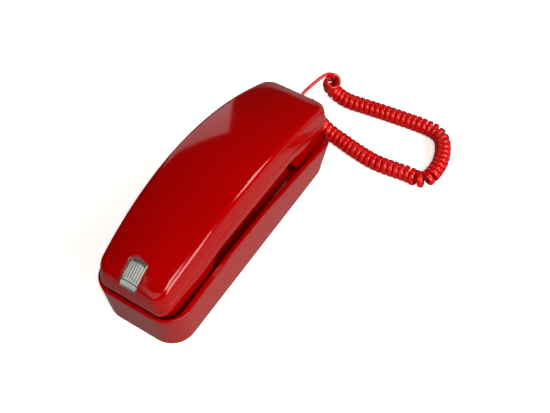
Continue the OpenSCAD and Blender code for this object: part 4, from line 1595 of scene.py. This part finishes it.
@dataclass(frozen=True)
class Softbox:
    """One rectangular studio light, aimed at a point."""

    name: str
    at: tuple[float, float, float]
    size: float
    power: float
    colour: tuple[float, float, float] = (1.0, 1.0, 1.0)
    aim: tuple[float, float, float] = (0.0, 0.0, 0.04)

    def build(self) -> bpy.types.Object:
        """Adds the light.

        Returns:
            The light's object.
        """
        data = bpy.data.lights.new(self.name, "AREA")
        data.shape, data.size, data.energy = "SQUARE", self.size, self.power
        data.color = self.colour
        light = linked(self.name, data)
        light.location = self.at
        light.rotation_euler = (Vector(self.aim) - Vector(self.at)).to_track_quat(
            "-Z", "Y").to_euler()
        return light


@dataclass(frozen=True)
class Studio:
    """Camera, floor, lights and surroundings."""

    camera_at: tuple[float, float, float] = (0.23915, -0.30879, 0.54822)
    azimuth: float = 31.97
    elevation: float = 53.30
    roll: float = 0.44
    lens: float = 57.05
    floor_glow: float = 0.55
    floor_bounce: float = 0.30
    floor_half: float = 3.0
    sensor: float = 36.0
    sky_light: float = 0.02
    sky_seen: float = 0.85
    softboxes: tuple[Softbox, ...] = (
        Softbox("key_light", (0.75, 0.70, 0.95), 0.45, 8.5, (1.0, 0.96, 0.90)),
        Softbox("side_light", (1.30, -0.30, 0.65), 0.9, 26.0),
        Softbox("accent_light", (0.44, -0.58, 1.26), 0.42, 9.0, (1.0, 0.90, 0.76)),
        Softbox("fill_light", (-0.10, -1.30, 0.80), 0.9, 4.0, (0.96, 0.98, 1.0)),
        Softbox("back_light", (-1.10, 0.90, 0.60), 0.8, 3.5),
    )

    def camera(self) -> bpy.types.Object:
        """Places the camera from its azimuth, elevation and roll.

        Its back axis points from the object to it, its right axis is level before
        the roll turns right and up together.

        Returns:
            The camera's object.
        """
        a, e, r = (math.radians(v) for v in (self.azimuth, self.elevation, self.roll))
        back = Vector((math.sin(a) * math.cos(e), -math.cos(a) * math.cos(e), math.sin(e)))
        right = Vector((math.cos(a), math.sin(a), 0))
        up = back.cross(right)
        x_axis = right * math.cos(r) + up * math.sin(r)
        y_axis = up * math.cos(r) - right * math.sin(r)
        data = bpy.data.cameras.new("camera")
        data.lens, data.sensor_width, data.sensor_fit = self.lens, self.sensor, "HORIZONTAL"
        data.clip_start = 0.01
        camera = linked("camera", data)
        turn = Matrix((x_axis, y_axis, back)).transposed().to_4x4()
        camera.matrix_world = Matrix.Translation(self.camera_at) @ turn
        bpy.context.scene.camera = camera
        return camera

    def floor_paper(self) -> bpy.types.Material:
        """Builds the floor's paper.

        The camera sees it bright, other rays meet a dim one, so that it throws
        little light up, and it is clear from below.

        Returns:
            The material.
        """
        made = bpy.data.materials.new("floor_paper")
        made.use_nodes = True
        graph = Graph(made.node_tree)
        shader = graph.add("BsdfPrincipled", Roughness=0.9)
        shader.inputs["Specular IOR Level"].default_value = 0.1
        shader.inputs["Emission Color"].default_value = (1, 1, 1, 1)
        shader.inputs["Emission Strength"].default_value = self.floor_glow
        value = graph.ramp(graph.noise(60.0, 4.0), 0.3, 0.7, 0.84, 0.86)
        paper = graph.add("CombineColor")
        for channel in range(3):
            graph.join(value, paper.inputs[channel])
        graph.join(paper.outputs[0], shader.inputs["Base Color"])
        dim = graph.add("BsdfDiffuse")
        dim.inputs["Color"].default_value = (self.floor_bounce,) * 3 + (1,)
        seen = graph.add("MixShader")
        graph.join(graph.add("LightPath").outputs["Is Camera Ray"], seen.inputs[0])
        graph.join(dim.outputs[0], seen.inputs[1])
        graph.join(shader.outputs["BSDF"], seen.inputs[2])
        sided = graph.add("MixShader")
        graph.join(graph.add("NewGeometry").outputs["Backfacing"], sided.inputs[0])
        graph.join(seen.outputs[0], sided.inputs[1])
        graph.join(graph.add("BsdfTransparent").outputs[0], sided.inputs[2])
        graph.join(sided.outputs[0], graph.add("OutputMaterial").inputs["Surface"])
        return made

    def sky(self) -> bpy.types.World:
        """Builds a sky that lights dimly and evenly but looks pale to the camera.

        Returns:
            The world.
        """
        world = bpy.data.worlds.new("sky")
        world.use_nodes = True
        sky = Graph(world.node_tree)
        mixed = sky.add("MixShader")
        sky.join(sky.add("LightPath").outputs["Is Camera Ray"], mixed.inputs[0])
        for place, strength in enumerate((self.sky_light, self.sky_seen), start=1):
            light = sky.add("Background")
            light.inputs["Color"].default_value = (1, 1, 1, 1)
            light.inputs["Strength"].default_value = strength
            sky.join(light.outputs[0], mixed.inputs[place])
        sky.join(mixed.outputs[0], sky.add("OutputWorld").inputs["Surface"])
        return world

    def surroundings(self) -> None:
        """Adds the pale floor, the softboxes and a dim even sky."""
        sides = (-self.floor_half, self.floor_half)
        floor = object_from("floor", np.array([[x, y, 0.0] for x in sides for y in sides]),
                            [(0, 2, 3, 1)])
        floor.data.materials.append(self.floor_paper())
        for box in self.softboxes:
            box.build()
        bpy.context.scene.world = self.sky()
        bpy.context.scene.view_settings.view_transform = "Standard"


# ---------------------------------------------------------------- the whole


NODE_SLOTS: dict[str, Slot] = {
    entry["node"]: Slot(entry["material_slot"]) for entry in frame["record"]["subparts"]
}


def dress_cad_nodes() -> None:
    """Gives every carried-over CAD node its slot's procedural finish."""
    for name, node in frame["nodes"].items():
        made = FINISHES[NODE_SLOTS[name]].material()
        if not node.material_slots:
            node.data.materials.append(made)
        for slot in node.material_slots:
            slot.material = made


def main() -> None:
    """Builds the studio, the cord, the base, the handset and its parts, in that order."""
    logging.basicConfig(level=logging.INFO, format="%(name)s: %(message)s")
    studio = Studio()
    studio.camera()
    HandsetCord().build()
    BaseHousing().build()
    shells = HandsetShells()
    shells.build()
    LampWindow().build()
    Keypad().build(shells)
    dress_cad_nodes()
    studio.surroundings()


if __name__ == "__main__":
    main()
